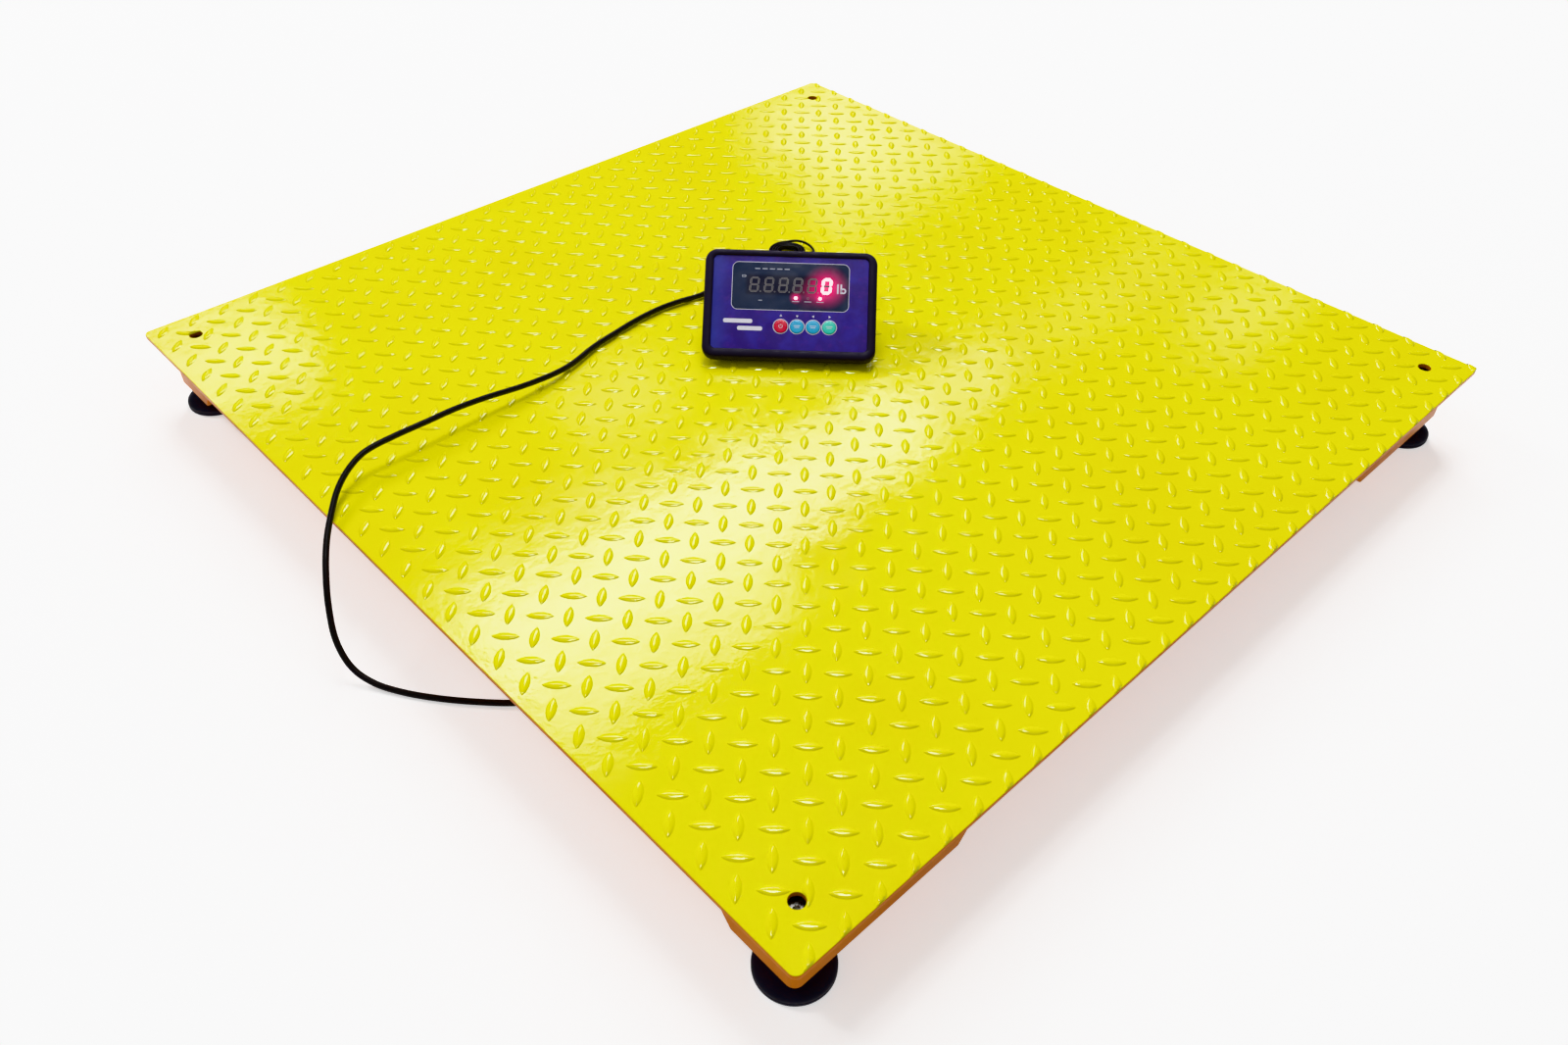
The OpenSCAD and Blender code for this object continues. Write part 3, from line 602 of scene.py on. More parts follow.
def sweep(path, radii, sides=16):
    """A round tube along path with a frame that doesn't twist."""
    loops = []
    side = None
    for i, p in enumerate(path):
        along = (path[min(i + 1, len(path) - 1)] - path[max(i - 1, 0)]).normalized()
        if side is None:
            side = along.orthogonal().normalized()
        side = (side - along * side.dot(along)).normalized()
        other = along.cross(side)
        r = radii[i] if isinstance(radii, list) else radii
        turns = [2 * math.pi * k / sides for k in range(sides)]
        loops.append([p + (side * math.cos(a) + other * math.sin(a)) * r for a in turns])
    return loft(loops, caps=True)


def ringed(count, start, pitch, radius, taper, ring):
    """Profile of a strain relief: a ring of (radius, height) offsets repeated along a taper."""
    return [(radius - taper * k + dr, start + pitch * k + dh) for k in range(count) for dr, dh in ring]


def run_length(path):
    """Length of a path through its points."""
    return sum((b - a).length for a, b in zip(path, path[1:]))


# ---------- cords ----------

SIGNAL_ROUTE = [
    (35.5, 132, 144), (44, 141, 142.5), (48, 152, 137.5), (47, 165, 129.5), (40, 179, 120.5),
    (26, 188, 113), (4, 190.5, 109.5), (-19.5, 189, 109), (-50, 196, 109), (-81.5, 200, 109),
    (-119, 199, 109), (-156.5, 194, 109), (-201, 186.5, 109), (-245, 173, 110),
    (-280, 166.5, 113), (-326, 165, 118), (-373, 167, 124), (-416, 167, 128.5),
    (-457, 165.5, 130.5), (-496, 165.5, 131.5), (-533, 165, 130), (-559, 157, 125.5),
    (-584, 140, 120), (-606.5, 116, 114), (-630, 87, 106), (-649, 60, 92), (-665, 35, 70),
    (-675, 14, 42), (-675, -8, 18), (-665.5, -34, 6.6), (-648, -65, 3.9), (-625, -97, 3.7),
    (-600, -126, 3.7), (-573, -153, 3.7), (-544, -174, 3.8), (-512, -183, 4.3),
    (-484, -174, 11), (-463, -153, 28), (-449, -132, 50), (-437, -115, 67), (-426, -108.5, 74.5),
    (-412.8, -107.5, 76),
]
PLUG_ROUTE = [
    (0, 158.5, 35), (0, 170, 33.5), (-2, 184, 27), (-6, 198, 17), (-11, 212, 8), (-16, 226, 3.3),
    (-21, 238.5, 3.3), (-25.5, 250, 3.3), (-29.3, 260.5, 3.3), (-32.3, 271, 3.3), (-34.2, 280.7, 3.3),
]
ADAPTER_ROUTE = [
    (-11, 309.2, 6.9), (-3, 311.2, 7.4), (5, 311.8, 7.4), (12.5, 310.2, 6.7), (19.5, 306, 5.6),
    (25, 299.5, 4.5), (28, 291, 3.7), (29, 281, 3.3), (28.5, 267, 3.3), (26, 252, 3.3), (22, 237, 3.3),
    (17.5, 222.5, 3.3), (12.5, 209, 4.5), (9.5, 197, 8), (12, 185.5, 12.5), (22, 180, 15.5),
]
CABLE = 7.0
LEAD = 3.6
# Where the middle of the lead is when it lies on the tread lugs.
LEAD_LOW = 3.3
# The coil: its middle, its outermost turn, the direction in which it starts, its turns in all,
# the part of a turn that a step takes, and the turns at which the steps begin.
COIL = (-10, 283.8)
COIL_OUTER = 24.4
COIL_START = 187.3
COIL_TURNS = 7.25
COIL_STEP = 0.25
STEPS_IN = (0.75, 1.75, 2.75)
STEP_UP = 3.5
STEPS_OUT = (4.25, 5.25, 6.25)
POINTS_PER_TURN = 24


def ease(t):
    """Rises smoothly from 0 to 1 as t does."""
    t = max(0.0, min(1.0, t))
    return t * t * (3 - 2 * t)


def coil_points():
    """A coil of seven and a quarter turns in two flat layers, each four turns wide. It winds
    clockwise from the plug's lead to the middle, up one layer, and out again towards the adapter.
    Turns are a diameter apart, and the lead steps from one to the next over a quarter of a turn."""
    def step(turn, at):
        return ease((turn - at) / COIL_STEP)

    out = []
    for k in range(int(COIL_TURNS * POINTS_PER_TURN)):
        turn = k / POINTS_PER_TURN
        inward = sum(step(turn, at) for at in STEPS_IN)
        outward = sum(step(turn, at) for at in STEPS_OUT)
        r = COIL_OUTER - LEAD * (inward - outward)
        a = math.radians(COIL_START) - 2 * math.pi * turn
        z = LEAD_LOW + LEAD * step(turn, STEP_UP)
        out.append((COIL[0] + r * math.cos(a), COIL[1] + r * math.sin(a), z))
    return out


def make_cords():
    path = curve_points([on_floor(*p) for p in SIGNAL_ROUTE], 6)
    cable = piece("signal_cable", *sweep(path, CABLE / 2 * MM, 18), SHEATH, smooth=60,
                  replaces=["scale_cable"], slot="cable_sheath")
    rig.blend(cable, "platform", "indicator", (-0.030, 0.190, 0.109), (0.0355, 0.132, 0.144))
    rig.cord(cable, exit=path[0], length=run_length(path), diameter=0.007, far_end="object",
            stiffness="medium", lay="loose", path=path)

    wound = coil_points()
    path = (curve_points([on_deck(*p) for p in PLUG_ROUTE], 6)[:-1]
            + [on_deck(*p) for p in wound]
            + curve_points([on_deck(*p) for p in ADAPTER_ROUTE], 6))
    lead = piece("power_cord", *sweep(path, LEAD / 2 * MM, 12), SHEATH, smooth=60,
                 replaces=["power_lead", "power_coil"], slot="cable_sheath")
    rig.blend(lead, "platform", "indicator", on_deck(-18, 222, 4), on_deck(0, 160, 35))
    return lead, path


power_cord, power_path = make_cords()


# ---------- deck ----------

DECK_TOP = 104
DECK_BOTTOM = 98
HALF = 609.6
# The corner holes: how far they are from the deck's middle lines, and their radius.
HOLE = 561
HOLE_R = 8


def make_deck():
    """The plate, yellow on top, and below and at its edges in the frame's paint: the deck's yellow darkened to
    orange-brown, as painted shade.
    """
    corner_r = 8
    holes = [circle(x, y, HOLE_R, 40) for x in (-HOLE, HOLE) for y in (-HOLE, HOLE)]
    outline = rounded(2 * HALF, 2 * HALF, corner_r, 6)
    verts, faces, _ = plate(outline, holes, DECK_BOTTOM, DECK_TOP, 0.7, on_floor)
    top = piece("deck_sheet", verts, faces, DECK, "platform", 50, ["deck_plate"], "deck_paint")
    # Faces that don't face up take the darker orange-brown copy of the yellow: painted shade.
    top.data.materials.append(SHADED_PAINT)
    for face in top.data.polygons:
        if face.normal.z < 0.5:
            face.material_index = 1


def lug_shape():
    """One raised lens of the tread pattern along X, about its middle: its points and faces."""
    half_l, half_w, height = 14.6, 5.4, 1.5
    across = ((-1.0, -0.03), (-0.8, 0.36), (-0.52, 0.82), (0.0, 1.0), (0.52, 0.82), (0.8, 0.36), (1.0, -0.03))
    points = [(-half_l, 0.0, -0.05)]
    stations = (-0.94, -0.8, -0.58, -0.3, 0.0, 0.3, 0.58, 0.8, 0.94)
    for t in stations:
        wide = half_w * (1 - t * t) ** 0.85
        high = height * (1 - abs(t) ** 5)
        points += [(t * half_l, a * wide, b * high) for a, b in across]
    points.append((half_l, 0.0, -0.05))
    n = len(across)
    faces = [[0, 1 + k + 1, 1 + k] for k in range(n - 1)]
    for i in range(len(stations) - 1):
        a = 1 + i * n
        faces += [[a + k, a + k + 1, a + n + k + 1, a + n + k] for k in range(n - 1)]
    last = 1 + (len(stations) - 1) * n
    faces += [[last + k, last + k + 1, len(points) - 1] for k in range(n - 1)]
    return points, faces


# The lugs lie in two grids, each given by the place of one of its lugs and the way that they lean.
LUG_GRIDS = ((-590.0, -176.4, 1), (-568.9, -155.8, -1))
LUG_STEP_X = 41.25
LUG_STEP_Y = 42.8
LUG_MARGIN = 0.8


def lug_at(points, cx, cy, lean):
    """A lug's points about (cx, cy), turned by 45 degrees times lean. Points over a hole or past
    the deck's edge are moved back to just short of it."""
    half = math.sqrt(0.5)
    clear = HOLE_R + LUG_MARGIN
    edge = HALF - LUG_MARGIN
    made = []
    for x, y, z in points:
        px = cx + half * (x - lean * y)
        py = cy + half * (lean * x + y)
        hx, hy = math.copysign(HOLE, px), math.copysign(HOLE, py)
        gap = math.hypot(px - hx, py - hy)
        if gap < clear:
            px, py = hx + (px - hx) * clear / gap, hy + (py - hy) * clear / gap
        px = max(-edge, min(edge, px))
        py = max(-edge, min(edge, py))
        made.append(on_floor(px, py, DECK_TOP + z))
    return made


def make_tread():
    """The lugs, without those whose middle is at the deck's edge or over a hole."""
    points, faces = lug_shape()
    parts = Parts()
    for x0, y0, lean in LUG_GRIDS:
        for i in range(-1, 31):
            for j in range(-11, 20):
                cx, cy = x0 + LUG_STEP_X * i, y0 + LUG_STEP_Y * j
                over_hole = math.hypot(abs(cx) - HOLE, abs(cy) - HOLE) < HOLE_R + 2
                if max(abs(cx), abs(cy)) <= HALF - 2 and not over_hole:
                    parts.add(lug_at(points, cx, cy, lean), faces)
    lugs = piece("tread_lugs", parts.verts, parts.faces, DECK, "platform", 0, slot="deck_paint")
    lugs.data.shade_smooth()


def bead(parts, start, end, radius=2.6, pitch=2.6):
    """A weld bead with its ripples, from start to end in millimetres."""
    a, b = on_floor(*start), on_floor(*end)
    count = max(4, int((b - a).length / MM / pitch * 2))
    path, radii = [], []
    for i in range(count + 1):
        t = i / count
        taper = min(1.0, 6 * min(t, 1 - t) + 0.25)
        path.append(a.lerp(b, t))
        radii.append(radius * MM * taper * (1.0 if i % 2 else 0.82))
    parts.add(*sweep(path, radii, 8))


def make_welds():
    """Beads under the plate: along each pocket's outer walls and in stitches along the channels."""
    parts = Parts()
    wall, z = HALF - 19, 97.2
    start, end_x, end_y = wall - 16, wall - 236, wall - 112
    for sx in (-1, 1):
        for sy in (-1, 1):
            bead(parts, (sx * start, sy * wall, z), (sx * end_x, sy * wall, z))
            bead(parts, (sx * wall, sy * start, z), (sx * wall, sy * end_y, z))
    channel, z, thin = HALF - 34.6, 97.4, 2.2
    spacing, half = 125, 28
    for s in (-1, 1):
        for k in range(-3, 4):
            low, high = k * spacing - half, k * spacing + half
            bead(parts, (s * channel, low, z), (s * channel, high, z), thin)
            if abs(k) < 3:
                bead(parts, (low, s * channel, z), (high, s * channel, z), thin)
    # The beads take the darker orange-brown copy of the deck's yellow: painted shade.
    beads = piece("weld_beads", parts.verts, parts.faces, SHADED_PAINT, "platform", 0, slot="frame_paint")
    beads.data.shade_smooth()


make_deck()
make_tread()
make_welds()


# ---------- CAD pieces that stay ----------

def paint(node, mat, slot):
    """Gives a CAD node its material."""
    node.data.materials.clear()
    node.data.materials.append(mat)
    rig.slot(node, slot)


def join_faces(node):
    """Smooths a CAD node's shading and joins its faces, for the modifier that follows."""
    if "custom_normal" in node.data.attributes:
        node.data.attributes.remove(node.data.attributes["custom_normal"])
    node.data.shade_smooth()
    weld = node.modifiers.new("weld", "WELD")
    weld.merge_threshold = 0.000005


def dress(names, mat, slot, soft=0.0, steps=2):
    """Gives CAD nodes their material and, where soft is set, worn edges of that many millimetres."""
    for name in names:
        node = nodes[name]
        paint(node, mat, slot)
        if soft:
            join_faces(node)
            edge = node.modifiers.new("edge", "BEVEL")
            edge.width = soft * MM
            edge.segments = steps
            edge.limit_method = "ANGLE"
            edge.angle_limit = math.radians(38)
            edge.harden_normals = True


def round_tube(names, mat, slot):
    """Smooths CAD nodes that are faceted tubes."""
    for name in names:
        node = nodes[name]
        paint(node, mat, slot)
        join_faces(node)
        more = node.modifiers.new("round", "SUBSURF")
        more.levels = more.render_levels = 1


CORNERS = ("front", "right", "back", "left")


def dress_cad():
    # The ribs, channels and pockets take the darker orange-brown copy of the deck's yellow: painted shade.
    dress(["deck_ribs", "edge_channels"], SHADED_PAINT, "frame_paint", 1.0)
    dress([f"corner_pocket_{c}" for c in CORNERS], SHADED_PAINT, "frame_paint", 1.5, 3)
    dress([f"load_cell_{c}" for c in CORNERS], CELL, "cell_steel", 0.8)
    dress(["cell_spacers"], ZINC, "zinc_steel", 0.5)
    dress(["cell_bolts", "lock_nuts", "junction_screws", "base_screws"], ZINC, "zinc_steel")
    dress([f"foot_stud_{c}" for c in CORNERS], STUD, "zinc_steel")
    round_tube([f"cell_lead_{c}" for c in CORNERS], CELL_SHEATH, "lead_sheath")
    dress(["lead_clips"], NYLON, "clip_nylon")
    dress(["lead_grommets", "junction_gasket"], GROMMET, "grommet_rubber")
    dress(["indicator_feet"], GROMMET, "grommet_rubber", 0.5)
    dress(["junction_box", "junction_lid"], BOX, "box_plastic", 0.7)
    dress(["junction_glands"], BLACK, "black_plastic")
    dress(["junction_board", "display_board", "main_board"], BOARD, "circuit_board")
    dress(["rear_shell"], BLACK, "black_plastic", 1.2, 3)
    dress(["base_cover"], BLACK, "black_plastic", 0.4)
    dress(["key_switches", "power_jack", "switch_frame"], BLACK, "black_plastic")
    dress(["display_modules"], MODULE, "module_plastic", 0.3)
    dress(["battery_pack"], WRAP, "battery_wrap", 2.0, 3)
    dress(["serial_socket"], ZINC, "zinc_steel")
    dress(["switch_rocker"], SWITCH_RED, "switch_red", 0.4)


dress_cad()


# ---------- feet ----------

def make_feet():
    """The moulded pads: a flat rim, a groove, a dome and a collar round the stud."""
    profile = [(15, 3.2), (33, 3.2), (34, 0.4), (35, 0.0), (37, 0.0), (37.7, 0.4), (38, 1.2), (38, 3.4),
               (37.4, 3.9), (37.4, 4.5), (38, 5.0), (38, 6.6), (37.7, 7.6), (36.6, 8.9), (34.5, 10.2),
               (31, 11.4), (27.5, 12.4), (25.6, 12.6), (23.8, 13.4), (20, 15.2), (17.2, 17.4),
               (15.6, 19.2), (14.6, 19.9), (13.4, 20), (9.4, 20), (8.8, 19.4), (7.6, 17.2)]
    for corner, (sx, sy) in zip(CORNERS, ((-1, -1), (1, -1), (1, 1), (-1, 1))):
        def place(x, y, z):
            return on_floor(sx * HOLE + x, sy * HOLE + y, z)
        verts, faces = lathe(place, profile, 72)
        piece(f"pad_{corner}", verts, faces, FOOT, f"pad_{corner}", 34, [f"foot_pad_{corner}"], "foot_rubber")


make_feet()


# ---------- indicator ----------

# The sloping face: the bezel's outside, the opening in it, the window, the keys and the lamps.
FACE_W, FACE_H, FACE_R = 220, 144.7, 16
FACE_MID = FACE_H / 2
OPENING_W, OPENING_H, OPENING_R = 197.6, 122.6, 6
OPENING_MID = 74.6
WINDOW_MID = 96.5
KEY_V = 44
KEY_U = (-10.9, 9.7, 30.2, 50.6)
LAMP_V = 81.7
LAMP_U = (7.1, 22.6, 38.0)
# The six digits: the middle of the first, and how far the next is.
DIGITS = 6
DIGIT_U = -46
DIGIT_V = 98.3
DIGIT_STEP = 18.4
SLANT = 0.10
# Heights on the face: the film's two sides, and the back and front of what is printed on it.
FILM_BACK = -4.2
FILM_FRONT = -2.2
INK_BACK = -2.22
INK_FRONT = -2.14
UNLIT_FRONT = -2.16
LIT_FRONT = -2.08


def make_bezel():
    """A thick moulded frame: a full rounded section falling to the recessed panel."""
    steps = [(0.0, -10.0), (0.0, -5.0), (0.02, -3.6), (0.09, -2.1), (0.2, -1.0), (0.34, -0.3), (0.5, 0.0),
             (0.66, -0.05), (0.82, -0.35), (0.93, -0.9), (0.99, -1.7), (1.0, -2.3), (1.0, -10.0)]
    loops = []
    for t, w in steps:
        wide = FACE_W + (OPENING_W - FACE_W) * t
        high = FACE_H + (OPENING_H - FACE_H) * t
        outline = rounded(wide, high, FACE_R + (OPENING_R - FACE_R) * t, 10)
        middle = FACE_MID + (OPENING_MID - FACE_MID) * t
        loops.append([on_face(x, y + middle, w) for x, y in outline])
    verts, faces = loft(loops, closed=True)
    piece("bezel", verts, faces, BEZEL, "indicator", 50, ["front_bezel"], "bezel_plastic")


def make_panel():
    """The printed film, with its window and key openings, and the window."""
    holes = [shifted(rounded(149, 63, 8), 0, WINDOW_MID)] + [circle(u, KEY_V, 8.9) for u in KEY_U]
    outline = shifted(rounded(202.4, 127.4, 3, 3), 0, OPENING_MID)
    verts, faces, uvs = plate(outline, holes, FILM_BACK, FILM_FRONT, 0.12, on_face)
    piece("panel", verts, faces, PANEL, "indicator", 40, ["face_panel"], "panel_film", uvs)
    outline = shifted(rounded(148.9, 62.9, 8, 8), 0, WINDOW_MID)
    verts, faces, uvs = plate(outline, [], FILM_BACK, FILM_FRONT, 0.08, on_face)
    piece("window", verts, faces, WINDOW, "indicator", 40, ["display_window"], "window_film", uvs)


def flat_marks(name, shapes, mat, high=INK_FRONT, slot=None):
    """Thin printed or lit marks on the face, up to high: (outer, holes) outlines."""
    parts = Parts()
    for outer, holes in shapes:
        verts, faces, _ = plate(outer, holes, INK_BACK, high, 0.01, on_face)
        parts.add(verts, faces)
    piece(name, parts.verts, parts.faces, mat, "indicator", 30, slot=slot)


def bar(u0, v0, u1, v1, r=0.3):
    """Outline of a bar between two corners, rounded by up to r."""
    w, h = u1 - u0, v1 - v0
    return shifted(rounded(w, h, min(r, w / 2.01, h / 2.01), 3), (u0 + u1) / 2, (v0 + v1) / 2)


def segment(a, b, thick, low):
    """A pointed bar from a to b, as wide as thick, which stops short of both by low."""
    (ax, ay), (bx, by) = a, b
    length = math.hypot(bx - ax, by - ay)
    dx, dy = (bx - ax) / length, (by - ay) / length
    h = thick / 2
    high = length - low
    line = [(low, 0), (low + h, -h), (high - h, -h), (high, 0), (high - h, h), (low + h, h)]
    return [(ax + dx * s - dy * t, ay + dy * s + dx * t) for s, t in line]


def digit_segments(u, v, thick, low):
    """The seven bars of a digit about (u, v), leaning to the right."""
    w, h = 4.9, 8.9
    corners = {"tl": (-w, h), "tr": (w, h), "ml": (-w, 0), "mr": (w, 0), "bl": (-w, -h), "br": (w, -h)}
    pairs = {"a": ("tl", "tr"), "b": ("mr", "tr"), "c": ("br", "mr"), "d": ("bl", "br"),
             "e": ("bl", "ml"), "f": ("ml", "tl"), "g": ("ml", "mr")}
    out = {}
    for key, (p, q) in pairs.items():
        shape = segment(corners[p], corners[q], thick, low)
        out[key] = [(u + x + SLANT * y, v + y) for x, y in shape]
    return out


def make_display():
    """Six digits, of which the last is lit as a zero, their points, and three lamps, two of them lit."""
    dim, edge = [], []
    for i in range(DIGITS):
        u = DIGIT_U + DIGIT_STEP * i
        last = i == DIGITS - 1
        outer = digit_segments(u, DIGIT_V, 2.3, 0.35)
        inner = digit_segments(u, DIGIT_V, 1.3, 0.85)
        for key in "g" if last else "abcdefg":
            edge.append((outer[key], [inner[key]]))
            dim.append((inner[key], []))
        if not last:
            point = (u + 7.6, 89.4)
            edge.append((circle(*point, 1.0, 16), [circle(*point, 0.55, 16)]))
    zero = digit_segments(u, DIGIT_V, 3.7, 0.02)
    lit = [(zero[key], []) for key in "abcdef"]
    lit += [(circle(u, LAMP_V, 2.1, 20), []) for u in (LAMP_U[0], LAMP_U[2])]
    edge.append((circle(LAMP_U[1], LAMP_V, 1.5, 20), [circle(LAMP_U[1], LAMP_V, 1.1, 20)]))
    flat_marks("unlit_outlines", edge, UNLIT_EDGE, slot="module_plastic")
    flat_marks("unlit_segments", dim, UNLIT, UNLIT_FRONT, "module_plastic")
    flat_marks("lit_segments", lit, LIT, LIT_FRONT)


def make_print():
    """Outlines round the window and the keys, and plain marks in place of words."""
    border = shifted(rounded(149.6, 63.6, 8.3, 10), 0, WINDOW_MID)
    inside = shifted(rounded(148.3, 62.3, 7.6, 10), 0, WINDOW_MID)
    outlines = [(border, [inside])]
    outlines += [(circle(u, KEY_V, 9.9, 40), [circle(u, KEY_V, 8.95, 40)]) for u in KEY_U]
    size = 1.9
    up, down, left, right = 90, 270, 180, 0
    arrows = []
    for u, turn in zip(KEY_U, (up, down, left, right)):
        tip = [math.radians(turn + a) for a in (0, 120, 240)]
        arrows.append(([(u + size * math.cos(a), 58 + size * math.sin(a)) for a in tip], []))
    unit = [(bar(59.2, 88.9, 61.2, 101.6), []), (bar(63.4, 88.9, 65.4, 101.6), []),
            (circle(67.2, 92.6, 3.7, 28), [circle(67.2, 92.6, 1.9, 24)])]
    plain = [(bar(-84, 47, -47, 52.5, 2.2), []), (bar(-66, 37.5, -34, 43, 2.2), [])]
    flat_marks("printed_outlines", outlines, INK)
    flat_marks("printed_marks", arrows + unit + plain, INK)
    small = [(bar(u - 4.6, 76.6, u + 4.6, 77.6), []) for u in LAMP_U]
    small += [(bar(-62.2, 107.8, -57.4, 110.6, 0.4), [bar(-61.6, 108.4, -58.0, 110.0, 0.2)])]
    small += [(bar(-57.3, 108.7, -56.7, 109.7, 0.2), []), (bar(-40.4, 77.0, -35.6, 78.0), [])]
    small += [(bar(-46 + 9.4 * k, 118.9, -39.4 + 9.4 * k, 120.0), []) for k in range(5)]
    flat_marks("printed_legends", small, INK_DIM)


def make_keys():
    """Four flanged caps, each with a plunger behind it and a plain symbol on it."""
    dome = [(9.8, -5.3), (9.8, -4.5), (8.45, -4.5), (8.5, -2.2), (8.45, -1.75), (8.2, -1.45),
            (7.4, -1.3), (5.0, -1.28), (2.5, -1.27)]
    plunger = [(1.5, -6.7), (1.5, -5.0)]
    looks = (("off", KEY_RED, "key_red"), ("zero", KEY_CYAN, "key_cyan"), ("tare", KEY_CYAN, "key_cyan"),
             ("enter", KEY_GREEN, "key_green"))
    for (name, mat, slot), u in zip(looks, KEY_U):
        parts = Parts()
        parts.add(*lathe(lambda x, y, z: on_face(u + x, KEY_V + y, z), dome, 48))
        parts.add(*lathe(lambda x, y, z: on_face(u + x, KEY_V + y, z), plunger, 20))
        piece(f"cap_{name}", parts.verts, parts.faces, mat, f"{name}_key", 30, [f"key_{name}"], slot)
        marks = Parts()
        if name == "off":
            arc = [math.radians(a) for a in range(120, 421, 15)]
            outer = [(u + 2.6 * math.cos(a), KEY_V + 2.6 * math.sin(a)) for a in arc]
            inner = [(u + 2.0 * math.cos(a), KEY_V + 2.0 * math.sin(a)) for a in reversed(arc)]
            shapes = [outer + inner, bar(u - 0.3, KEY_V + 0.4, u + 0.3, KEY_V + 3.1)]
        else:
            shapes = [bar(u - 4.2, KEY_V + 0.7, u + 4.2, KEY_V + 1.4),
                      bar(u - 3.2, KEY_V - 1.5, u + 3.2, KEY_V - 0.8)]
        for shape in shapes:
            verts, faces, _ = plate(shape, [], -1.3, -1.22, 0.01, on_face)
            marks.add(verts, faces)
        piece(f"cap_{name}_mark", marks.verts, marks.faces, INK, f"{name}_key", 30)


def make_rear():
    """The gland with its ringed boot, the barrel plug, and the serial socket's pins."""
    parts = Parts()

    def at(u, z):
        return lambda x, y, d: on_back(u + x, z - y, d)

    def hexagon(across, place, low, high):
        r = across / 2 / math.cos(math.pi / 6)
        loops = []
        for d, e in ((low, 0.5), (low + 0.5, 0.0), (high - 0.5, 0.0), (high, 0.5)):
            loops.append([place(x, y, d) for x, y in circle(0, 0, r - e, 6)])
        return loft(loops, caps=True)

    gland = at(-45, 40)
    parts.add(*hexagon(17, gland, 0, 5))
    parts.add(*hexagon(16, gland, -6.5, -2.5))
    body = [(6.2, -10), (6.2, 1), (8.0, 5), (8.2, 6), (8.0, 7.5), (7.4, 12), (6.6, 13.6), (5.5, 14)]
    parts.add(*lathe(gland, body, 40))
    ring = ((0, 0), (0, 1.7), (-0.75, 1.9), (-0.75, 2.8))
    boot = [(5.5, 13.4)] + ringed(6, 14, 3, 5.5, 0.2, ring) + [(4.3, 32)]
    parts.add(*lathe(gland, boot, 32))
    piece("gland", parts.verts, parts.faces, BLACK, "indicator", 32, ["cable_gland"], "black_plastic")

    parts = Parts()
    jack = at(0, 35)
    barrel = [(2.75, -7.5), (2.75, 2.0), (4.6, 2.0), (5.0, 2.4)]
    barrel += ringed(5, 4.0, 2.6, 5.0, 0, ((0, 0), (-0.3, 0.3), (-0.3, 0.9), (0, 1.2)))
    barrel += [(5.0, 18.4), (4.6, 19.0), (4.0, 19.2)]
    barrel += ringed(4, 19.6, 3, 3.95, 0.35, ((0, 0), (-0.1, 1.6), (-0.75, 1.8), (-0.8, 2.8)))
    barrel += [(2.5, 32.0)]
    parts.add(*lathe(jack, barrel, 32))
    piece("barrel_plug", parts.verts, parts.faces, BLACK, "indicator", 32, ["power_plug"], "black_plastic")

    pins = Parts()
    serial = at(30, 40)
    pin = [(0.5, 1.5), (0.5, 5.2), (0.3, 5.6)]
    for count, y in ((5, 1.4), (4, -1.4)):
        for k in range(count):
            x = (k - (count - 1) / 2) * 2.77
            pins.add(*lathe(lambda a, b, d, x=x, y=y: serial(x + a, y + b, d), pin, 12))
    piece("serial_pins", pins.verts, pins.faces, BRASS, "indicator", 30, slot="zinc_steel")


def make_adapter():
    """The power adapter: a two-part moulded case with a seam, a ribbed boot, two flat blades and
    a dull plate on its top."""
    base_u, base_n, base_z = 35, 161, 1.5
    w, d, h = 54, 38, 28

    def place(x, y, z):
        return on_deck(base_u + x, base_n + y, base_z + z)

    case = Parts()
    loops = []
    wall = ((0, 2.2), (0.6, 0.9), (2.0, 0.1), (3.5, 0.0), (16.6, 0.0), (16.9, 0.35), (17.3, 0.35),
            (17.6, 0.0), (24.5, 0.0), (26.6, 0.5), (27.7, 1.7), (28, 3.4))
    for z, inset in wall:
        outline = rounded(w - 2 * inset, d - 2 * inset, max(1.5, 5 - inset * 0.6), 6)
        loops.append([place(w / 2 + x, d / 2 + y, z) for x, y in outline])
    case.add(*loft(loops, caps=True))

    def out_left(x, y, z):
        return place(-z, d / 2 + x, h / 2 + y)

    ring = ((0, 0), (-0.1, 1.6), (-0.8, 1.8), (-0.85, 2.7))
    boot = [(4.5, -1.0), (4.5, 0.6)] + ringed(4, 0.8, 2.9, 4.3, 0.42, ring) + [(2.5, 12.9)]
    case.add(*lathe(out_left, boot, 28))
    piece("adapter_case", case.verts, case.faces, BLACK, "platform", 34, ["power_adapter"], "black_plastic")

    blades = Parts()
    for z in (-6.4, 6.4):
        outline = rounded(6.3, 17, 1.2, 4)
        middle = (w - 18.85, d + 8.0)
        verts, faces, _ = plate(outline, [circle(0, 5.4, 1.5, 16)], h / 2 + z - 0.75, h / 2 + z + 0.75, 0.15,
                                lambda x, y, t: place(middle[0] + x, middle[1] + y, t))
        blades.add(verts, faces)
    piece("adapter_blades", blades.verts, blades.faces, BRASS, "platform", 30, slot="zinc_steel")
    verts, faces, _ = plate(rounded(32, 20, 2, 4), [], h - 0.05, h, 0.01,
                            lambda x, y, t: place(w / 2 + x, d / 2 + y, t))
    piece("adapter_recess", verts, faces, FOOT, "platform", 30, slot="black_plastic")


make_bezel()
make_panel()
make_display()
make_print()
make_keys()
make_rear()
make_adapter()
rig.cord(power_cord, exit=power_path[0], length=run_length(power_path), diameter=0.0036, far_end="plug",
        stiffness="limp", lay="coiled", path=power_path,
        with_pieces=["barrel_plug", "adapter_case", "adapter_blades", "adapter_recess"])


# ---------- floor and light ----------

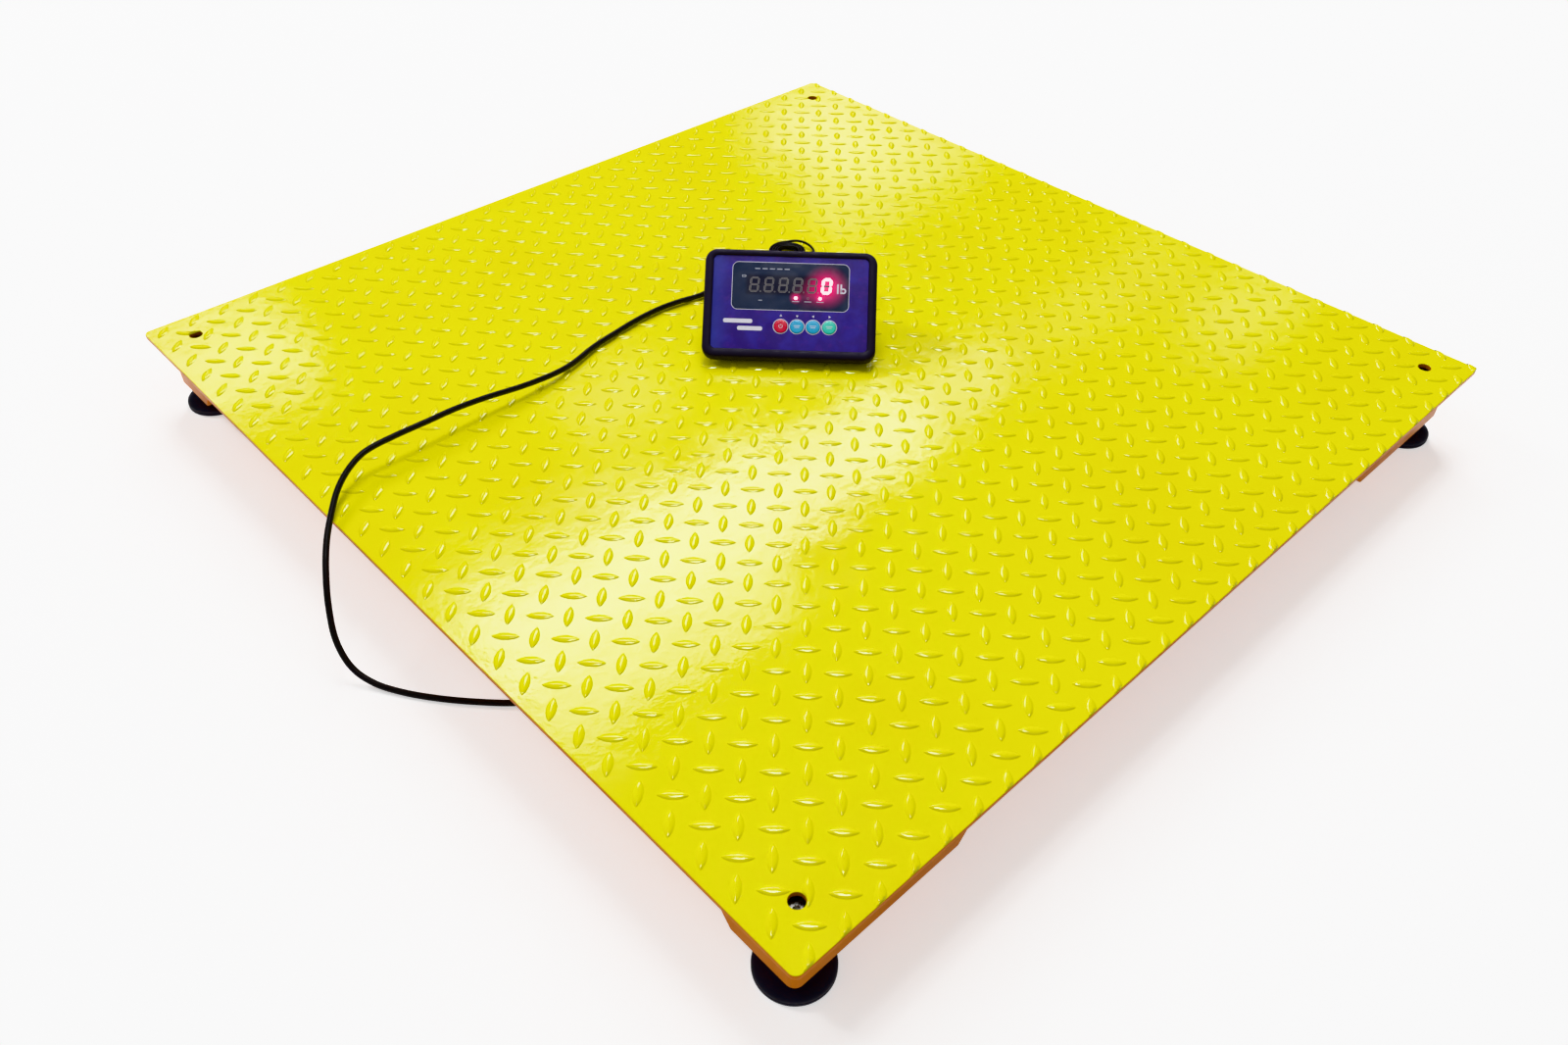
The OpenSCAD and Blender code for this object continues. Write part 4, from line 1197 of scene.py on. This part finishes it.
def make_stage():
    """A white floor, and a soft grey sky that is darker behind the object."""
    verts = [(-9, -9, 0), (9, -9, 0), (9, 9, 0), (-9, 9, 0)]
    paint = moulded("floor_paint", (0.88, 0.88, 0.88), 0.9, 0.1, 0.004, 0.0, (0.9, 0.9, 0.9))
    paint.set("Emission Color", (1.0, 1.0, 1.0, 1.0))
    paint.set("Emission Strength", 0.5)
    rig.stage(piece("floor", verts, [[0, 1, 2, 3]], paint.mat, smooth=0))
    world = bpy.data.worlds.new("studio")
    world.use_nodes = True
    made, links = world.node_tree.nodes, world.node_tree.links
    way = made.new("ShaderNodeVectorMath")
    way.operation = "DOT_PRODUCT"
    way.inputs[1].default_value = (0.66, 0.66, 0.36)
    links.new(made.new("ShaderNodeTexCoord").outputs["Generated"], way.inputs[0])
    dark = made.new("ShaderNodeMapRange")
    for key, value in (("From Min", 0.35), ("From Max", 0.8), ("To Min", 0.42), ("To Max", 0.05)):
        dark.inputs[key].default_value = value
    links.new(way.outputs["Value"], dark.inputs["Value"])
    links.new(dark.outputs["Result"], made["Background"].inputs["Strength"])
    made["Background"].inputs["Color"].default_value = (0.98, 0.99, 1.0, 1.0)
    bpy.context.scene.world = world
    bpy.context.scene.view_settings.view_transform = "Khronos PBR Neutral"


def area(name, centre, size, target, radiance, glossy=False):
    """A rectangular light of that radiance at centre, facing target. Size is across and along, in
    metres. It lights either what is glossy or everything else."""
    data = bpy.data.lights.new(name, "AREA")
    data.shape = "RECTANGLE"
    data.size, data.size_y = size
    data.energy = 4 * size[0] * size[1] * radiance
    light = bpy.data.objects.new(name, data)
    bpy.context.scene.collection.objects.link(light)
    light.location = centre
    light.rotation_euler = (Vector(centre) - Vector(target)).to_track_quat("Z", "Y").to_euler()
    light.visible_glossy = glossy
    light.visible_diffuse = not glossy


def gloss_light(name, x0, x1, y0, y1, radiance, height=2.6):
    """A level light whose reflection in the deck lies between those places, in millimetres."""
    far = 1 + (height * 1000 - DECK_TOP) / (EYE[2] - DECK_TOP)
    xa, xb = (EYE[0] + (x - EYE[0]) * far for x in (x0, x1))
    ya, yb = (EYE[1] + (y - EYE[1]) * far for y in (y0, y1))
    centre = ((xa + xb) / 2 * MM, (ya + yb) / 2 * MM, height)
    area(name, centre, ((xb - xa) * MM, (yb - ya) * MM), (centre[0], centre[1], 0), radiance, True)


# What the reflection of each level light covers on the deck: x from and to, y from and to, and
# the light's radiance.
REFLECTIONS = {
    "strip": (-610, -180, -236, -106, 10),
    "strip_near": (-180, 0, -236, -134, 8.4),
    "strip_tail": (0, 170, -225, -145, 3.4),
    "strip_front": (-610, -310, -320, -236, 5),
    "strip_back": (-610, -300, -106, -40, 2),
    "strip_end": (190, 600, -240, -120, 0.7),
    "patch_back": (372, 640, 310, 575, 3.2),
    "patch_behind": (262, 640, 200, 290, 2.2),
    "patch_right": (380, 640, -390, -276, 1.2),
    "patch_left": (-640, -465, 375, 585, 4.2),
    "patch_middle": (-323, -170, 20, 150, 1.5),
}

make_stage()
for light, place_and_radiance in REFLECTIONS.items():
    gloss_light(light, *place_and_radiance)
area("glint", (-0.1, -0.05, 3.4), (0.9, 0.9), (-0.1, -0.05, 0), 16, True)
area("key", (2.8, 3.2, 9.0), (3.5, 3.5), (0, 0, 0), 14)
area("back", (6.5, 7.0, 8.0), (4.0, 4.0), (0, 0, 0), 13)
area("second", (-3.5, 9.0, 7.0), (3.0, 3.0), (0, 0, 0), 14)

before_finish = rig.bounds()
with open("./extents.json", "w") as f:
    json.dump({"cad": [list(v) for v in cad_box], "visual": [list(v) for v in before_finish]}, f)
